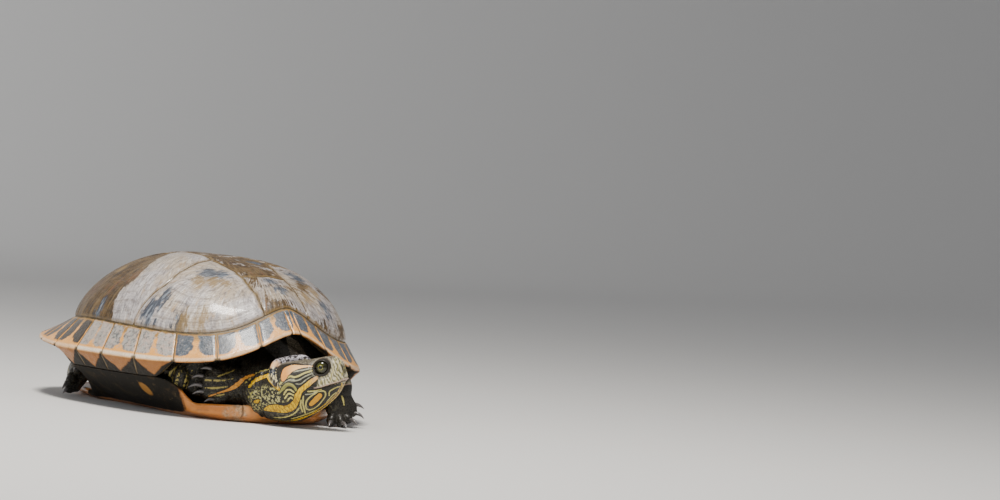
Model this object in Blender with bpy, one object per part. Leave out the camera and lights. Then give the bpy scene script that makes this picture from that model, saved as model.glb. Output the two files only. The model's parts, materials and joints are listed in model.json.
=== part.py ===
"""Red-eared slider, life size, lying on its belly shell with the head half drawn in.

Metres, +Z up. The animal faces -Y, its left side is +X, and the origin is on the flat of
the belly shell, under the middle of the upper shell.
"""

import math

import bmesh
import bpy
from mathutils import Matrix, Vector

MM = 0.001

# --- Driving dimensions -------------------------------------------------------------------
SHELL_HALF_LENGTH = 125 * MM
SHELL_HALF_WIDTH = 94 * MM
SHELL_HEIGHT = 103.3 * MM
SHELL_REAR_FLARE = 0.05            # how much wider the outline is behind than in front
SHELL_WALL = 4 * MM
CROWN_BACK = 16 * MM               # the highest point lies this far behind the middle
RIM_HEIGHT = 35.6 * MM
RIM_ARCH = 24.6 * MM               # extra height of the rim over the neck
RIM_ARCH_SPREAD = 0.40             # in radians round the outline
RIM_REAR_RISE = 4.5 * MM           # the rear of the rim turns up this much
REAR_RISE_START = math.radians(100)
REAR_RISE_END = math.radians(150)
MARGIN_WIDTH = 15.3 * MM
REAR_WIDENING = 10.3 * MM          # the margin is this much wider behind, where it flares
WIDENING_START = math.radians(90)
WIDENING_END = math.radians(140)
SHOULDER_NARROWING = 3 * MM        # the margin is narrower and steeper over the forelegs
SHOULDER_ANGLE = math.radians(50)
SHOULDER_SPREAD = 0.6
FRONT_SQUARENESS = 2.50
REAR_SQUARENESS = 2.24

# Front, side and rear values, blended round the outline.
MARGIN_RISE = (14.8 * MM, 19.8 * MM, 6.0 * MM)
DOME_POWER = (2.75, 2.05, 1.70)
DOME_FULLNESS = (1.40, 1.60, 1.55)
SHOULDER_POWER = 1.2

LOBE_HALF_LENGTH = (114 * MM, 112 * MM)   # belly shell, front and rear
LOBE_HALF_WIDTH = (66 * MM, 56 * MM)
LOBE_SQUARENESS = 2.6
LOBE_EDGE_HEIGHT = 6 * MM
LOBE_EDGE_CURL = 6 * MM                   # the front lobe curls up by this much more
BELLY_WALL = 5 * MM
BRIDGE_START = math.radians(44)           # angles round the outline, 0 at the front
BRIDGE_END = math.radians(108)
BRIDGE_BLEND = math.radians(10)
VENTRAL_MARGIN = 9 * MM                   # underside of the rim where the bridge joins it
VENTRAL_DROP = 12 * MM
BELLY_FLAT = 0.93                         # share of the lobe outline that lies flat
WAIST_CURL = 0.27                         # how much less of it is flat between the bridges
WAIST_ANGLE = math.radians(80)
WAIST_SPREAD = math.radians(32)
OPEN_MARGIN = 12 * MM                     # underside of the rim over the limbs

GAP = 0.3 * MM
INNER_GAP = 1.2 * MM
SHELL_SEGMENTS = 56
BODY_SEGMENTS = 28

HEAD_BASE = Vector((-5.8, -117.5, 21.5)) * MM
SNOUT_TIP = Vector((23.4, -151.3, 37.5)) * MM
EYE_RADIUS = 5.0 * MM
EYE_ALONG = 35.0 * MM
EYE_UP = 7.6 * MM
EYE_OUT = 7.4 * MM

CLAW_RADIUS = 1.8 * MM
CLAW_SIDES = 6


# --- Small helpers ------------------------------------------------------------------------
def smoothstep(low, high, value):
    t = min(max((value - low) / (high - low), 0.0), 1.0)
    return t * t * (3 - 2 * t)


def mix(a, b, t):
    return a + (b - a) * t


def front_side_rear(values, theta):
    """Blend three values round the outline by the square of the cosine."""
    front, side, rear = values
    c = math.cos(theta)
    return mix(side, front if c > 0 else rear, c * c)


def clear_scene():
    for obj in list(bpy.data.objects):
        bpy.data.objects.remove(obj, do_unlink=True)


def material(name, color, roughness):
    mat = bpy.data.materials.get(name)
    if mat is None:
        mat = bpy.data.materials.new(name)
        mat.use_nodes = True
        shader = mat.node_tree.nodes["Principled BSDF"]
        shader.inputs["Base Color"].default_value = (*color, 1)
        shader.inputs["Roughness"].default_value = roughness
        shader.inputs["Metallic"].default_value = 0.0
    return mat


def shell_material():
    return material("carapace_horn", (0.16, 0.13, 0.10), 0.30)


def belly_material():
    return material("plastron_horn", (0.72, 0.40, 0.18), 0.35)


def skin_material():
    return material("striped_skin", (0.045, 0.05, 0.04), 0.45)


def eye_material():
    return material("eye", (0.30, 0.33, 0.06), 0.08)


def claw_material():
    return material("claw_horn", (0.42, 0.42, 0.42), 0.35)


def finish(name, bm, mat):
    mesh = bpy.data.meshes.new(name)
    bm.to_mesh(mesh)
    bm.free()
    mesh.materials.append(mat)
    mesh.shade_smooth()
    obj = bpy.data.objects.new(name, mesh)
    bpy.context.scene.collection.objects.link(obj)
    return obj


def as_cutter(obj):
    obj.hide_render = True
    obj.display_type = "WIRE"
    return obj


def cut_with(obj, cutters):
    """Take each cutter's volume off the object."""
    for cutter in cutters:
        modifier = obj.modifiers.new("cut_" + cutter.name, "BOOLEAN")
        modifier.operation = "DIFFERENCE"
        modifier.solver = "EXACT"
        modifier.object = cutter


def ring_sphere(bm, segments, steps):
    """A new sphere's vertices, each with the number of its parallel and its angle round it."""
    made = bmesh.ops.create_uvsphere(bm, u_segments=segments, v_segments=steps, radius=1)
    places = []
    for vert in made["verts"]:
        level = round(math.acos(max(-1.0, min(1.0, vert.co.z))) / math.pi * steps)
        places.append((vert, level, -math.atan2(vert.co.y, vert.co.x)))
    return places


def add_ring_body(bm, segments, top, rings, bottom):
    """A closed body from a sphere: its poles go to top and bottom, and its parallels to rings.

    Each ring is a function of theta, which runs from 0 at the front over the right side.
    """
    steps = len(rings) + 1
    for vert, level, angle in ring_sphere(bm, segments, steps):
        if level == 0:
            vert.co = top
        elif level == steps:
            vert.co = bottom
        else:
            theta = angle - math.pi / 2
            theta = math.atan2(math.sin(theta), math.cos(theta))
            vert.co = rings[level - 1](theta)
    bmesh.ops.triangulate(bm, faces=bm.faces[:], quad_method="FIXED")


# --- Shell formulas -----------------------------------------------------------------------
def outline(theta):
    """The rim of the upper shell, seen from above."""
    c, s = math.cos(theta), math.sin(theta)
    blend = min(max(2 * c, 0.0), 1.0)
    n = mix(REAR_SQUARENESS, FRONT_SQUARENESS, blend)
    f = (abs(c) ** n + abs(s) ** n) ** (-1 / n)
    x = -SHELL_HALF_WIDTH * s * f * (1 - SHELL_REAR_FLARE * c)
    return x, -SHELL_HALF_LENGTH * c * f


def rim_height(theta):
    arch = RIM_ARCH * math.exp(-((abs(theta) / RIM_ARCH_SPREAD) ** 1.7))
    return RIM_HEIGHT + arch + RIM_REAR_RISE * smoothstep(REAR_RISE_START, REAR_RISE_END, abs(theta))


def rear_widening(theta):
    return REAR_WIDENING * smoothstep(WIDENING_START, WIDENING_END, abs(theta))


def margin_start(theta):
    x, y = outline(theta)
    shoulder = math.exp(-(((abs(theta) - SHOULDER_ANGLE) / SHOULDER_SPREAD) ** 2))
    width = MARGIN_WIDTH + rear_widening(theta) - SHOULDER_NARROWING * shoulder
    return 1 - width / math.hypot(x, y - CROWN_BACK)


def carapace_point(rho, theta):
    """Outer face of the upper shell: rho is 0 at the crown and 1 at the rim."""
    x, y = outline(theta)
    start = margin_start(theta)
    z_rim = rim_height(theta)
    z_start = z_rim + front_side_rear(MARGIN_RISE, theta)
    if rho > start:
        z = mix(z_start, z_rim, (rho - start) / (1 - start))
    else:
        power = front_side_rear(DOME_POWER, theta)
        if math.cos(theta) > 0:
            power += SHOULDER_POWER * math.sin(2 * theta) ** 2
        fullness = front_side_rear(DOME_FULLNESS, theta)
        z = mix(z_start, SHELL_HEIGHT, (1 - (rho / start) ** power) ** (1 / fullness))
    return Vector((x * rho, mix(CROWN_BACK, y, rho), z))


def carapace_inside(rho, theta, depth):
    """A point that lies depth below the outer face, measured square to it."""
    step = 0.004
    here = carapace_point(rho, theta)
    along = carapace_point(rho + step, theta) - carapace_point(rho - step, theta)
    round_it = carapace_point(rho, theta + step) - carapace_point(rho, theta - step)
    normal = round_it.cross(along).normalized()
    if normal.z < 0:
        normal.negate()
    return here - normal * depth


def bridge(theta):
    """1 where the side bridge joins the two shells, 0 at the limb openings."""
    a = abs(theta)
    rise = smoothstep(BRIDGE_START, BRIDGE_START + BRIDGE_BLEND, a)
    fall = smoothstep(BRIDGE_END - BRIDGE_BLEND, BRIDGE_END, a)
    return rise * (1 - fall)


def inset(theta, distance):
    """A point that far inside the rim outline, towards the middle, at height 0."""
    x, y = outline(theta)
    scale = 1 - distance / math.hypot(x, y)
    return Vector((x * scale, y * scale, 0))


def rim_underside(theta, extra=0.0):
    """Inner edge of the underside of the rim."""
    b = bridge(theta)
    point = inset(theta, mix(OPEN_MARGIN, VENTRAL_MARGIN, b) + extra)
    point.z = rim_height(theta) + mix(1.5 * MM, -VENTRAL_DROP, b)
    return point


def lobe(theta, scale=1.0, offset=0.0):
    """Outline of the belly shell without its bridges, at height 0."""
    c, s = math.cos(theta), math.sin(theta)
    n = LOBE_SQUARENESS
    f = (abs(c) ** n + abs(s) ** n) ** (-1 / n)
    half_length = LOBE_HALF_LENGTH[0 if c > 0 else 1]
    half_width = mix(*LOBE_HALF_WIDTH, smoothstep(0.2, -0.6, c))
    point = Vector((-half_width * s * f, -half_length * c * f, 0))
    return point * scale * (1 - offset / point.length)


def lobe_edge_height(theta):
    curl = max(math.cos(theta), 0.0) ** 1.5
    return LOBE_EDGE_HEIGHT + LOBE_EDGE_CURL * curl


# --- Shell parts --------------------------------------------------------------------------
DOME_LEVELS = (0.20, 0.38, 0.54, 0.69, 0.82, 0.93)


def carapace_rings(grow):
    """Rings down the outside, round the rim, and up the inside."""
    inner = SHELL_WALL + grow

    def outer(level):
        return lambda t: carapace_inside(level * margin_start(t), t, -grow)

    def inside(level):
        return lambda t: carapace_inside(level * margin_start(t), t, inner)

    def margin(fraction):
        return lambda t: carapace_inside(mix(margin_start(t), 1, fraction), t, -grow)

    def lip(t):
        point = inset(t, 0.6 * MM - grow)
        point.z = rim_height(t) - 1.6 * MM
        return point

    def under(t):
        return rim_underside(t) - Vector((0, 0, grow))

    def ledge(t):
        point = rim_underside(t, 3 * MM + grow + rear_widening(t) * (1 - bridge(t)))
        point.z += mix(1 * MM, 0, bridge(t)) - grow * bridge(t)
        return point

    rings = [outer(level) for level in (*DOME_LEVELS, 0.98)]
    rings += [margin(0), margin(0.55), margin(0.995), lip, under, ledge]
    rings += [inside(level) for level in reversed(DOME_LEVELS)]
    return rings


def make_carapace(name, grow=0.0):
    bm = bmesh.new()
    top = Vector((0, CROWN_BACK, SHELL_HEIGHT + grow))
    bottom = top - Vector((0, 0, SHELL_WALL + 2 * grow))
    add_ring_body(bm, SHELL_SEGMENTS, top, carapace_rings(grow), bottom)
    return finish(name, bm, shell_material())


def bridge_top(theta, extra, drop):
    """Where the bridge meets the underside of the rim."""
    point = rim_underside(theta, extra)
    point.z -= drop
    return point


def plastron_rings(grow):
    """Rings out over the inner face, round the edge, and in under the flat belly."""
    wall = BELLY_WALL + grow

    def floor_inside(scale):
        return lambda t: lobe(t, scale) + Vector((0, 0, wall))

    def edge_inside(t):
        b = bridge(t)
        open_edge = lobe(t, 1, 4 * MM)
        open_edge.z = max(lobe_edge_height(t) - 0.5 * MM, BELLY_WALL) + grow
        return open_edge.lerp(lobe(t, 0.92) + Vector((0, 0, wall + 7 * MM)), b)

    def top_inside(t):
        b = bridge(t)
        open_edge = lobe(t, 1, 1.4 * MM)
        open_edge.z = lobe_edge_height(t) + grow
        return open_edge.lerp(bridge_top(t, 4 * MM + grow, GAP - grow), b)

    def top_outside(t):
        b = bridge(t)
        open_edge = lobe(t, 1, -grow)
        open_edge.z = lobe_edge_height(t) - 1.6 * MM
        return open_edge.lerp(bridge_top(t, 0.4 * MM - grow, GAP - grow), b)

    def shoulder(t):
        b = bridge(t)
        open_edge = lobe(t, 1, 0.8 * MM - grow)
        open_edge.z = 0.35 * lobe_edge_height(t)
        low = lobe(t, 0.98) + Vector((0, 0, 8 * MM - grow))
        return open_edge.lerp(low, b)

    def flat(t):
        waist = math.exp(-(((abs(t) - WAIST_ANGLE) / WAIST_SPREAD) ** 2))
        return lobe(t, BELLY_FLAT - WAIST_CURL * waist) + Vector((0, 0, -grow))

    def middle(t):
        return lobe(t, 0.4) + Vector((0, 0, -grow))

    return [floor_inside(0.4), floor_inside(0.66), edge_inside, top_inside,
            top_outside, shoulder, flat, middle]


def make_plastron(name, grow=0.0):
    bm = bmesh.new()
    top = Vector((0, 0, BELLY_WALL + grow))
    add_ring_body(bm, SHELL_SEGMENTS, top, plastron_rings(grow), Vector((0, 0, -grow)))
    return finish(name, bm, belly_material())


def wall_inset(theta):
    """How far the skin between the shells lies behind the edge of the rim."""
    return 20 * MM + 24 * MM * math.exp(-((theta / 0.62) ** 2))


def trunk_rings(grow):
    """Rings under the dome, down the skin of the openings and over the belly shell."""
    depth = SHELL_WALL + INNER_GAP - grow

    def under_dome(level):
        return lambda t: carapace_inside(level * margin_start(t), t, depth)

    def skin_top(t):
        b = bridge(t)
        point = inset(t, mix(wall_inset(t), VENTRAL_MARGIN + 5.5 * MM, b) - grow)
        point.z = rim_height(t) + mix(1 * MM, -VENTRAL_DROP + 2 * MM, b)
        return point

    def shelf(t):
        b = bridge(t)
        open_wall = wall_inset(t) + rear_widening(t) + 2 * MM
        point = inset(t, mix(open_wall, VENTRAL_MARGIN + 7.5 * MM, b) - grow)
        point.z = rim_height(t) + mix(1 * MM, -VENTRAL_DROP + 4 * MM, b)
        return point

    def skin_low(t):
        b = bridge(t)
        point = inset(t, wall_inset(t) + 3 * MM - grow)
        limit = lobe(t, 1, 6 * MM - grow)
        if point.length > limit.length:
            point = limit
        point = point.lerp(lobe(t, 0.84), b)
        point.z = mix(14, 16, b) * MM
        return point

    def belly(scale):
        return lambda t: lobe(t, scale) + Vector((0, 0, BELLY_WALL + INNER_GAP - grow))

    levels = [under_dome(level) for level in DOME_LEVELS[:-2]]
    return levels + [shelf, skin_top, skin_low, belly(0.6), belly(0.3)]


def make_trunk(name, grow=0.0):
    bm = bmesh.new()
    top = Vector((0, CROWN_BACK, SHELL_HEIGHT - SHELL_WALL - INNER_GAP + grow))
    bottom = Vector((0, 0, BELLY_WALL + INNER_GAP - grow))
    add_ring_body(bm, BODY_SEGMENTS, top, trunk_rings(grow), bottom)
    return finish(name, bm, skin_material())


# --- Tubes of flesh -----------------------------------------------------------------------
def smooth_path(points, fraction):
    """A point on a Catmull-Rom curve through the points, each a tuple of numbers."""
    last = len(points) - 1
    place = min(max(fraction, 0.0), 1.0) * last
    i = min(int(place), last - 1)
    t = place - i
    p0, p1 = points[max(i - 1, 0)], points[i]
    p2, p3 = points[i + 1], points[min(i + 2, last)]
    return [
        0.5 * (2 * b + (c - a) * t + (2 * a - 5 * b + 4 * c - d) * t * t
               + (3 * b - a - 3 * c + d) * t ** 3)
        for a, b, c, d in zip(p0, p1, p2, p3)
    ]


def add_tube(bm, stations, segments, steps, up=Vector((0, 0, 1)), grow=0.0):
    """A round-ended tube. A station is x, y, z, half width and half height in millimetres."""
    for vert, parallel, angle in ring_sphere(bm, segments, steps):
        level = parallel / steps
        along = min(max((level - 0.12) / 0.76, 0.0), 1.0)
        x, y, z, wide, high = (v * MM for v in smooth_path(stations, along))
        before = Vector(smooth_path(stations, along - 0.02)[:3])
        after = Vector(smooth_path(stations, along + 0.02)[:3])
        ahead = (after - before).normalized()
        side = up.cross(ahead).normalized()
        lift = ahead.cross(side)
        cap = 1.0
        push = 0.0
        if level < 0.12:
            cap = math.sin(level / 0.12 * math.pi / 2)
            push = -math.cos(level / 0.12 * math.pi / 2)
        elif level > 0.88:
            cap = math.sin((1 - level) / 0.12 * math.pi / 2)
            push = math.cos((1 - level) / 0.12 * math.pi / 2)
        radius = min(wide, high) + grow
        offset = side * math.cos(angle) * (wide + grow) * cap
        offset += lift * math.sin(angle) * (high + grow) * cap
        vert.co = Vector((x, y, z)) + offset + ahead * push * radius * 0.8


def fused(name, tubes, keep, mat):
    """Several tubes melted into one body, then thinned to the share keep of its faces."""
    bm = bmesh.new()
    for tube in tubes:
        add_tube(bm, tube, 16, 14)
    obj = finish(name, bm, mat)
    remesh = obj.modifiers.new("melt", "REMESH")
    remesh.mode = "VOXEL"
    remesh.voxel_size = 1.3 * MM
    soften = obj.modifiers.new("soften", "SMOOTH")
    soften.factor = 0.5
    soften.iterations = 3
    thin = obj.modifiers.new("thin", "DECIMATE")
    thin.ratio = keep
    thin.use_collapse_triangulate = True
    return obj


# --- Head and neck ------------------------------------------------------------------------
# Stations along the head in millimetres: distance from its base, top, bottom, half width.
HEAD_STATIONS = (
    (0.0, 17.0, -19.5, 17.0),
    (8.0, 17.4, -21.4, 17.8),
    (16.0, 16.6, -20.8, 17.0),
    (24.0, 15.2, -18.2, 15.0),
    (31.0, 14.6, -15.4, 12.6),
    (38.0, 14.0, -11.6, 10.4),
    (43.0, 12.6, -6.6, 8.2),
    (46.2, 8.8, -2.6, 5.0),
)
HEAD_MIDDLE = -3.0


def head_frame():
    """Base point and unit vectors along the head, up it and to its right."""
    ahead = (SNOUT_TIP - HEAD_BASE).normalized()
    right = Vector((ahead.y, -ahead.x, 0)).normalized()
    up = right.cross(ahead)
    return HEAD_BASE, ahead, up, right


def head_point(along, up, right):
    base, u_ahead, u_up, u_right = head_frame()
    return base + u_ahead * along + u_up * up + u_right * right


def head_section(station, angle, swell=0.0):
    """A point on the head's surface: angle 0 is its right, a quarter turn is its top."""
    along, top, bottom, half = station
    c, s = math.cos(angle), math.sin(angle)
    power = 0.82 if s > 0 else 0.95
    right = half * math.copysign(abs(c) ** power, c)
    reach = top - HEAD_MIDDLE if s > 0 else HEAD_MIDDLE - bottom
    up = HEAD_MIDDLE + reach * math.copysign(abs(s) ** power, s)
    swollen = 1 + swell / half
    return along, HEAD_MIDDLE + (up - HEAD_MIDDLE) * swollen, right * swollen


def make_head(name):
    bm = bmesh.new()
    rings = 13
    for vert, level, angle in ring_sphere(bm, 24, rings + 1):
        if level == 0:
            vert.co = head_point(47.5 * MM, 3.6 * MM, 0)
        elif level == rings + 1:
            vert.co = head_point(0, HEAD_MIDDLE * MM, 0)
        else:
            station = smooth_path(HEAD_STATIONS, 1 - (level - 1) / (rings - 1))
            along, up, right = (v * MM for v in head_section(station, angle))
            vert.co = head_point(along, up, right)
    return finish(name, bm, skin_material())


# Neck, from the back of the head into the shell: x, y, z, half width, half height.
NECK_STATIONS = (
    (-9.0, -106.5, 22.5, 17.5, 19.0),
    (-8.0, -97.0, 26.0, 17.5, 17.5),
    (-5.0, -84.0, 30.5, 17.0, 16.0),
    (-3.0, -66.0, 34.0, 16.5, 15.0),
)


def make_neck(name, grow=0.0):
    """A sleeve of loose skin that starts face to face with the back of the head."""
    base, ahead, up, right = head_frame()
    rear = HEAD_STATIONS[0]
    steps = 9
    bm = bmesh.new()
    for vert, level, angle in ring_sphere(bm, 24, steps + 1):
        if level <= 3:
            back = (GAP - grow) if level <= 1 else GAP + (level - 1) * 2.4 * MM
            swell = (0.0, 0.0, 0.6, 0.9)[level] + grow / MM
            if level == 0:
                vert.co = base - ahead * back + up * HEAD_MIDDLE * MM
                continue
            _, lift, side = head_section(rear, angle, swell)
            vert.co = base - ahead * back + up * lift * MM + right * side * MM
            continue
        fraction = (level - 4) / (steps - 4)
        x, y, z, wide, high = (v * MM for v in smooth_path(NECK_STATIONS, fraction))
        if level == steps + 1:
            vert.co = (x, y + 4 * MM, z)
            continue
        lean = mix(0.5, 0.0, fraction)
        side = Vector((-1, -lean, 0)).normalized()
        vert.co = (Vector((x, y, z)) + side * math.cos(angle) * (wide + grow)
                   + Vector((0, 0, 1)) * math.sin(angle) * (high + grow))
    return finish(name, bm, skin_material())


def make_eye(name, side, grow=0.0):
    bm = bmesh.new()
    centre = head_point(EYE_ALONG, EYE_UP, side * EYE_OUT)
    _, ahead, up, right = head_frame()
    turn = Matrix((up, -ahead, right)).transposed().to_4x4()
    bmesh.ops.create_uvsphere(
        bm, u_segments=14, v_segments=8, radius=EYE_RADIUS + grow,
        matrix=Matrix.Translation(centre) @ turn)
    return finish(name, bm, eye_material())


# --- Limbs and tail -----------------------------------------------------------------------
# Stations are x, y, z, half width and half height in millimetres.
RIGHT_FORE_TUBES = (
    ((-40, -64, 26, 12, 12), (-31, -82, 25, 12, 12), (-23, -96, 23, 10, 12)),
    ((-21, -97, 22, 9, 11), (-27, -95, 22.5, 8, 11), (-33, -92.5, 22.4, 6.5, 10)),
    ((-32, -93, 22.4, 6, 10), (-38, -89.5, 21.8, 5, 11), (-42, -87, 21.5, 3.5, 9)),
)
RIGHT_FORE_DIGITS = (
    ((-34, -92.0, 28.5), (-38.5, -90.0, 31.0)),
    ((-36, -91.0, 25.5), (-42.5, -87.5, 26.3)),
    ((-36, -91.0, 21.0), (-43.0, -87.5, 20.3)),
    ((-35, -92.0, 17.0), (-41.0, -89.0, 16.2)),
    ((-33, -94.0, 14.0), (-36.5, -92.5, 12.2)),
)
RIGHT_FORE_CLAW_TIPS = (
    (-46.5, -85.5, 31.6),
    (-50.5, -82.5, 25.4),
    (-52.5, -82.0, 19.0),
    (-50.0, -84.0, 15.0),
    (-44.5, -90.0, 10.6),
)

LEFT_FORE_TUBES = (
    ((41, -64, 26, 12, 12), (49, -78, 28, 12, 12), (53, -90, 28, 10, 11)),
    ((53, -90, 27, 10, 10), (51, -98, 25, 9, 9), (48, -104, 20, 8, 8)),
    ((48, -103, 20, 9, 6), (47.5, -108, 14, 11, 5.5), (47, -111, 9.5, 11, 4)),
)
LEFT_FORE_DIGITS = (
    ((51.5, -106.0, 16.0), (55.5, -109.0, 14.5)),
    ((50.5, -108.0, 12.0), (54.0, -113.0, 9.3)),
    ((48.5, -109.0, 9.5), (50.0, -115.5, 5.2)),
    ((45.5, -109.5, 8.5), (44.5, -115.5, 2.6)),
    ((42.5, -108.5, 9.0), (38.5, -112.5, 3.0)),
)
LEFT_FORE_CLAW_TIPS = (
    (62.5, -113.5, 12.5),
    (59.0, -120.0, 6.5),
    (52.0, -124.0, 2.2),
    (43.5, -124.5, 0.5),
    (33.5, -118.5, 0.6),
)

# Hind limbs are written for the left side and mirrored.
HIND_TUBES = (
    ((34, 66, 27, 13, 13), (46, 59, 25, 13, 13), (57, 52, 22, 10, 11)),
    ((57, 54, 20, 8, 10), (55, 62, 16, 8, 9), (54, 67, 13, 7, 8)),
    ((54, 66, 13, 7, 8), (58, 60, 12, 6, 9), (62, 55, 11, 4.5, 9)),
)
HIND_DIGITS = (
    ((60, 52, 16.5), (64.5, 47.0, 18.0)),
    ((62, 54, 13.0), (67.5, 50.0, 12.6)),
    ((62, 56, 9.5), (67.5, 53.5, 7.6)),
    ((60, 58, 6.5), (64.5, 57.5, 3.9)),
)
HIND_CLAW_TIPS = (
    (70.0, 41.5, 17.6),
    (73.5, 45.5, 10.6),
    (73.0, 50.5, 4.4),
    (69.0, 56.5, 1.0),
)
DIGIT_ROOT = 3.4
DIGIT_END = 2.7

TAIL_STATIONS = (
    (0, 84, 24, 11, 11),
    (2, 98, 19, 8, 8),
    (7, 110, 13, 5, 5),
    (16, 117, 8, 3, 3),
    (24, 118, 5.5, 1.4, 1.4),
)


def digit_tube(root, end):
    middle = [mix(a, b, 0.5) for a, b in zip(root, end)]
    thick = 0.5 * (DIGIT_ROOT + DIGIT_END)
    return ((*root, DIGIT_ROOT, DIGIT_ROOT), (*middle, thick, thick), (*end, DIGIT_END, DIGIT_END))


def mirrored(rows):
    return tuple((-row[0], *row[1:]) for row in rows)


def make_limb(name, tubes, digits, keep):
    pieces = list(tubes) + [digit_tube(root, end) for root, end in digits]
    return fused(name, pieces, keep, skin_material())


def make_claw(name, root, end, tip, grow=0.0):
    """A curved cone that starts inside the digit's tip and droops towards its point."""
    start, tip = Vector(end) * MM, Vector(tip) * MM
    ahead = (tip - start).normalized()
    side = ahead.cross(Vector((0, 0, 1))).normalized()
    lift = side.cross(ahead)
    rows = 4
    bm = bmesh.new()
    for vert, level, angle in ring_sphere(bm, CLAW_SIDES, rows + 1):
        t = max(level - 1, 0) / rows
        arch = (tip - start).length * 0.16 * math.sin(t * math.pi)
        radius = 0.0 if level in (0, rows + 1) else CLAW_RADIUS * (1 - t) ** 0.7 + grow
        vert.co = (start.lerp(tip, t) + lift * arch
                   + (side * math.cos(angle) - lift * math.sin(angle)) * radius)
        if level == 0:
            vert.co -= ahead * grow
        elif level == rows + 1:
            vert.co += ahead * grow * 2
    return finish(name, bm, claw_material())


def make_claws(prefix, digits, tips):
    """The claws of one foot, and the slightly larger shapes that seat them in the digits."""
    seats = []
    for number, ((root, end), tip) in enumerate(zip(digits, tips), start=1):
        make_claw(f"{prefix}_{number}", root, end, tip)
        seats.append(as_cutter(make_claw(f"seat_{prefix}_{number}", root, end, tip, GAP)))
    return seats


def make_tail(name):
    bm = bmesh.new()
    add_tube(bm, TAIL_STATIONS, 12, 12)
    return finish(name, bm, skin_material())


def make_floor_cutter():
    """Everything under the floor, so that a foot that touches it ends in a flat."""
    bm = bmesh.new()
    size = 0.4
    matrix = Matrix.Translation((0, 0, -size / 2)) @ Matrix.Scale(size, 4)
    bmesh.ops.create_cube(bm, size=1, matrix=matrix)
    return as_cutter(finish("below_floor", bm, skin_material()))


def build():
    clear_scene()
    make_carapace("carapace")
    make_plastron("plastron")
    make_trunk("trunk")
    carapace_space = as_cutter(make_carapace("carapace_space", GAP))
    plastron_space = as_cutter(make_plastron("plastron_space", GAP))
    trunk_space = as_cutter(make_trunk("trunk_space", GAP))
    neck_space = as_cutter(make_neck("neck_space", GAP))
    below_floor = make_floor_cutter()

    head = make_head("head")
    eye_spaces = []
    for side, word in ((1, "right"), (-1, "left")):
        make_eye("eye_" + word, side)
        eye_spaces.append(as_cutter(make_eye("eye_space_" + word, side, GAP)))
    cut_with(head, eye_spaces + [plastron_space])
    cut_with(make_neck("neck"), [trunk_space, plastron_space])

    shells = [trunk_space, plastron_space, carapace_space]
    seats = make_claws("claw_front_right", RIGHT_FORE_DIGITS, RIGHT_FORE_CLAW_TIPS)
    limb = make_limb("leg_front_right", RIGHT_FORE_TUBES, RIGHT_FORE_DIGITS, 0.09)
    cut_with(limb, shells + [neck_space] + seats)

    seats = make_claws("claw_front_left", LEFT_FORE_DIGITS, LEFT_FORE_CLAW_TIPS)
    limb = make_limb("leg_front_left", LEFT_FORE_TUBES, LEFT_FORE_DIGITS, 0.09)
    cut_with(limb, shells + [below_floor] + seats)

    for word, turn in (("left", tuple), ("right", mirrored)):
        tubes = [turn(tube) for tube in HIND_TUBES]
        digits = [turn(digit) for digit in HIND_DIGITS]
        seats = make_claws("claw_hind_" + word, digits, turn(HIND_CLAW_TIPS))
        limb = make_limb("leg_hind_" + word, tubes, digits, 0.09)
        cut_with(limb, shells + [below_floor] + seats)

    cut_with(make_tail("tail"), [trunk_space])


build()
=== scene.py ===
# %% [markdown]
# # A red-eared slider, life size
# A museum model of an adult pond turtle that lies on its belly shell with its head half
# drawn in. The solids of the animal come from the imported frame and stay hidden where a
# finer piece stands for them: a skin of one piece, horny plates laid over the shell, eyes
# that sit in their lids, and claws. Everything is worked out in millimetres and turned
# into metres when a mesh is made.

# %% Load the frame
import json
import math

import bmesh
import bpy
import numpy as np
from mathutils import Matrix, Vector

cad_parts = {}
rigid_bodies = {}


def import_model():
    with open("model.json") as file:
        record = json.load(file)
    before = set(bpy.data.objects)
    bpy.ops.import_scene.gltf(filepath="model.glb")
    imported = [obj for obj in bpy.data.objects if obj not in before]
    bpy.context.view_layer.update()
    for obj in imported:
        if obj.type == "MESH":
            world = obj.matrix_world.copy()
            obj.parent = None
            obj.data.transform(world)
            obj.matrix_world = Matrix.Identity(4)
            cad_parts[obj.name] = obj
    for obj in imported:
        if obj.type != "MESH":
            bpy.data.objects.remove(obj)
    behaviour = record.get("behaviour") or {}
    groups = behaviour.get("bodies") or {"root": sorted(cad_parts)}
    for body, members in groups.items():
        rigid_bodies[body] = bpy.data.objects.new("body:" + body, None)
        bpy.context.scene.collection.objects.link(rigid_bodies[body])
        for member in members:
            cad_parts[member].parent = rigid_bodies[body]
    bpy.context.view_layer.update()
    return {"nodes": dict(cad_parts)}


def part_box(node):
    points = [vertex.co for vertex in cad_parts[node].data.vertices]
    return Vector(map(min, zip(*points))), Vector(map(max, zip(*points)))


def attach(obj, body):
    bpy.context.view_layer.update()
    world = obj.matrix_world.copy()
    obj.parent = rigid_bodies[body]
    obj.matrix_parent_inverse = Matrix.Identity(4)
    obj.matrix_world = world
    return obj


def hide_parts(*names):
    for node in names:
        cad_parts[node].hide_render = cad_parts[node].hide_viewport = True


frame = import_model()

MM = 0.001
print("frame nodes:", len(frame["nodes"]))

# %% [markdown]
# ## Small sums
# The forms below blend into each other: a margin that widens behind, a lid that swells
# out of a cheek. A handful of short functions on arrays does all of that blending.

# %% Blends, bumps and curves
def smoothstep(low, high, value):
    t = np.clip((value - low) / (high - low), 0.0, 1.0)
    return t * t * (3 - 2 * t)


def mix(a, b, t):
    return a + (b - a) * t


def hill(distance, width):
    return np.exp(-((distance / width) ** 2))


def unit(v):
    return v / np.maximum(np.linalg.norm(v, axis=-1, keepdims=True), 1e-9)


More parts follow.
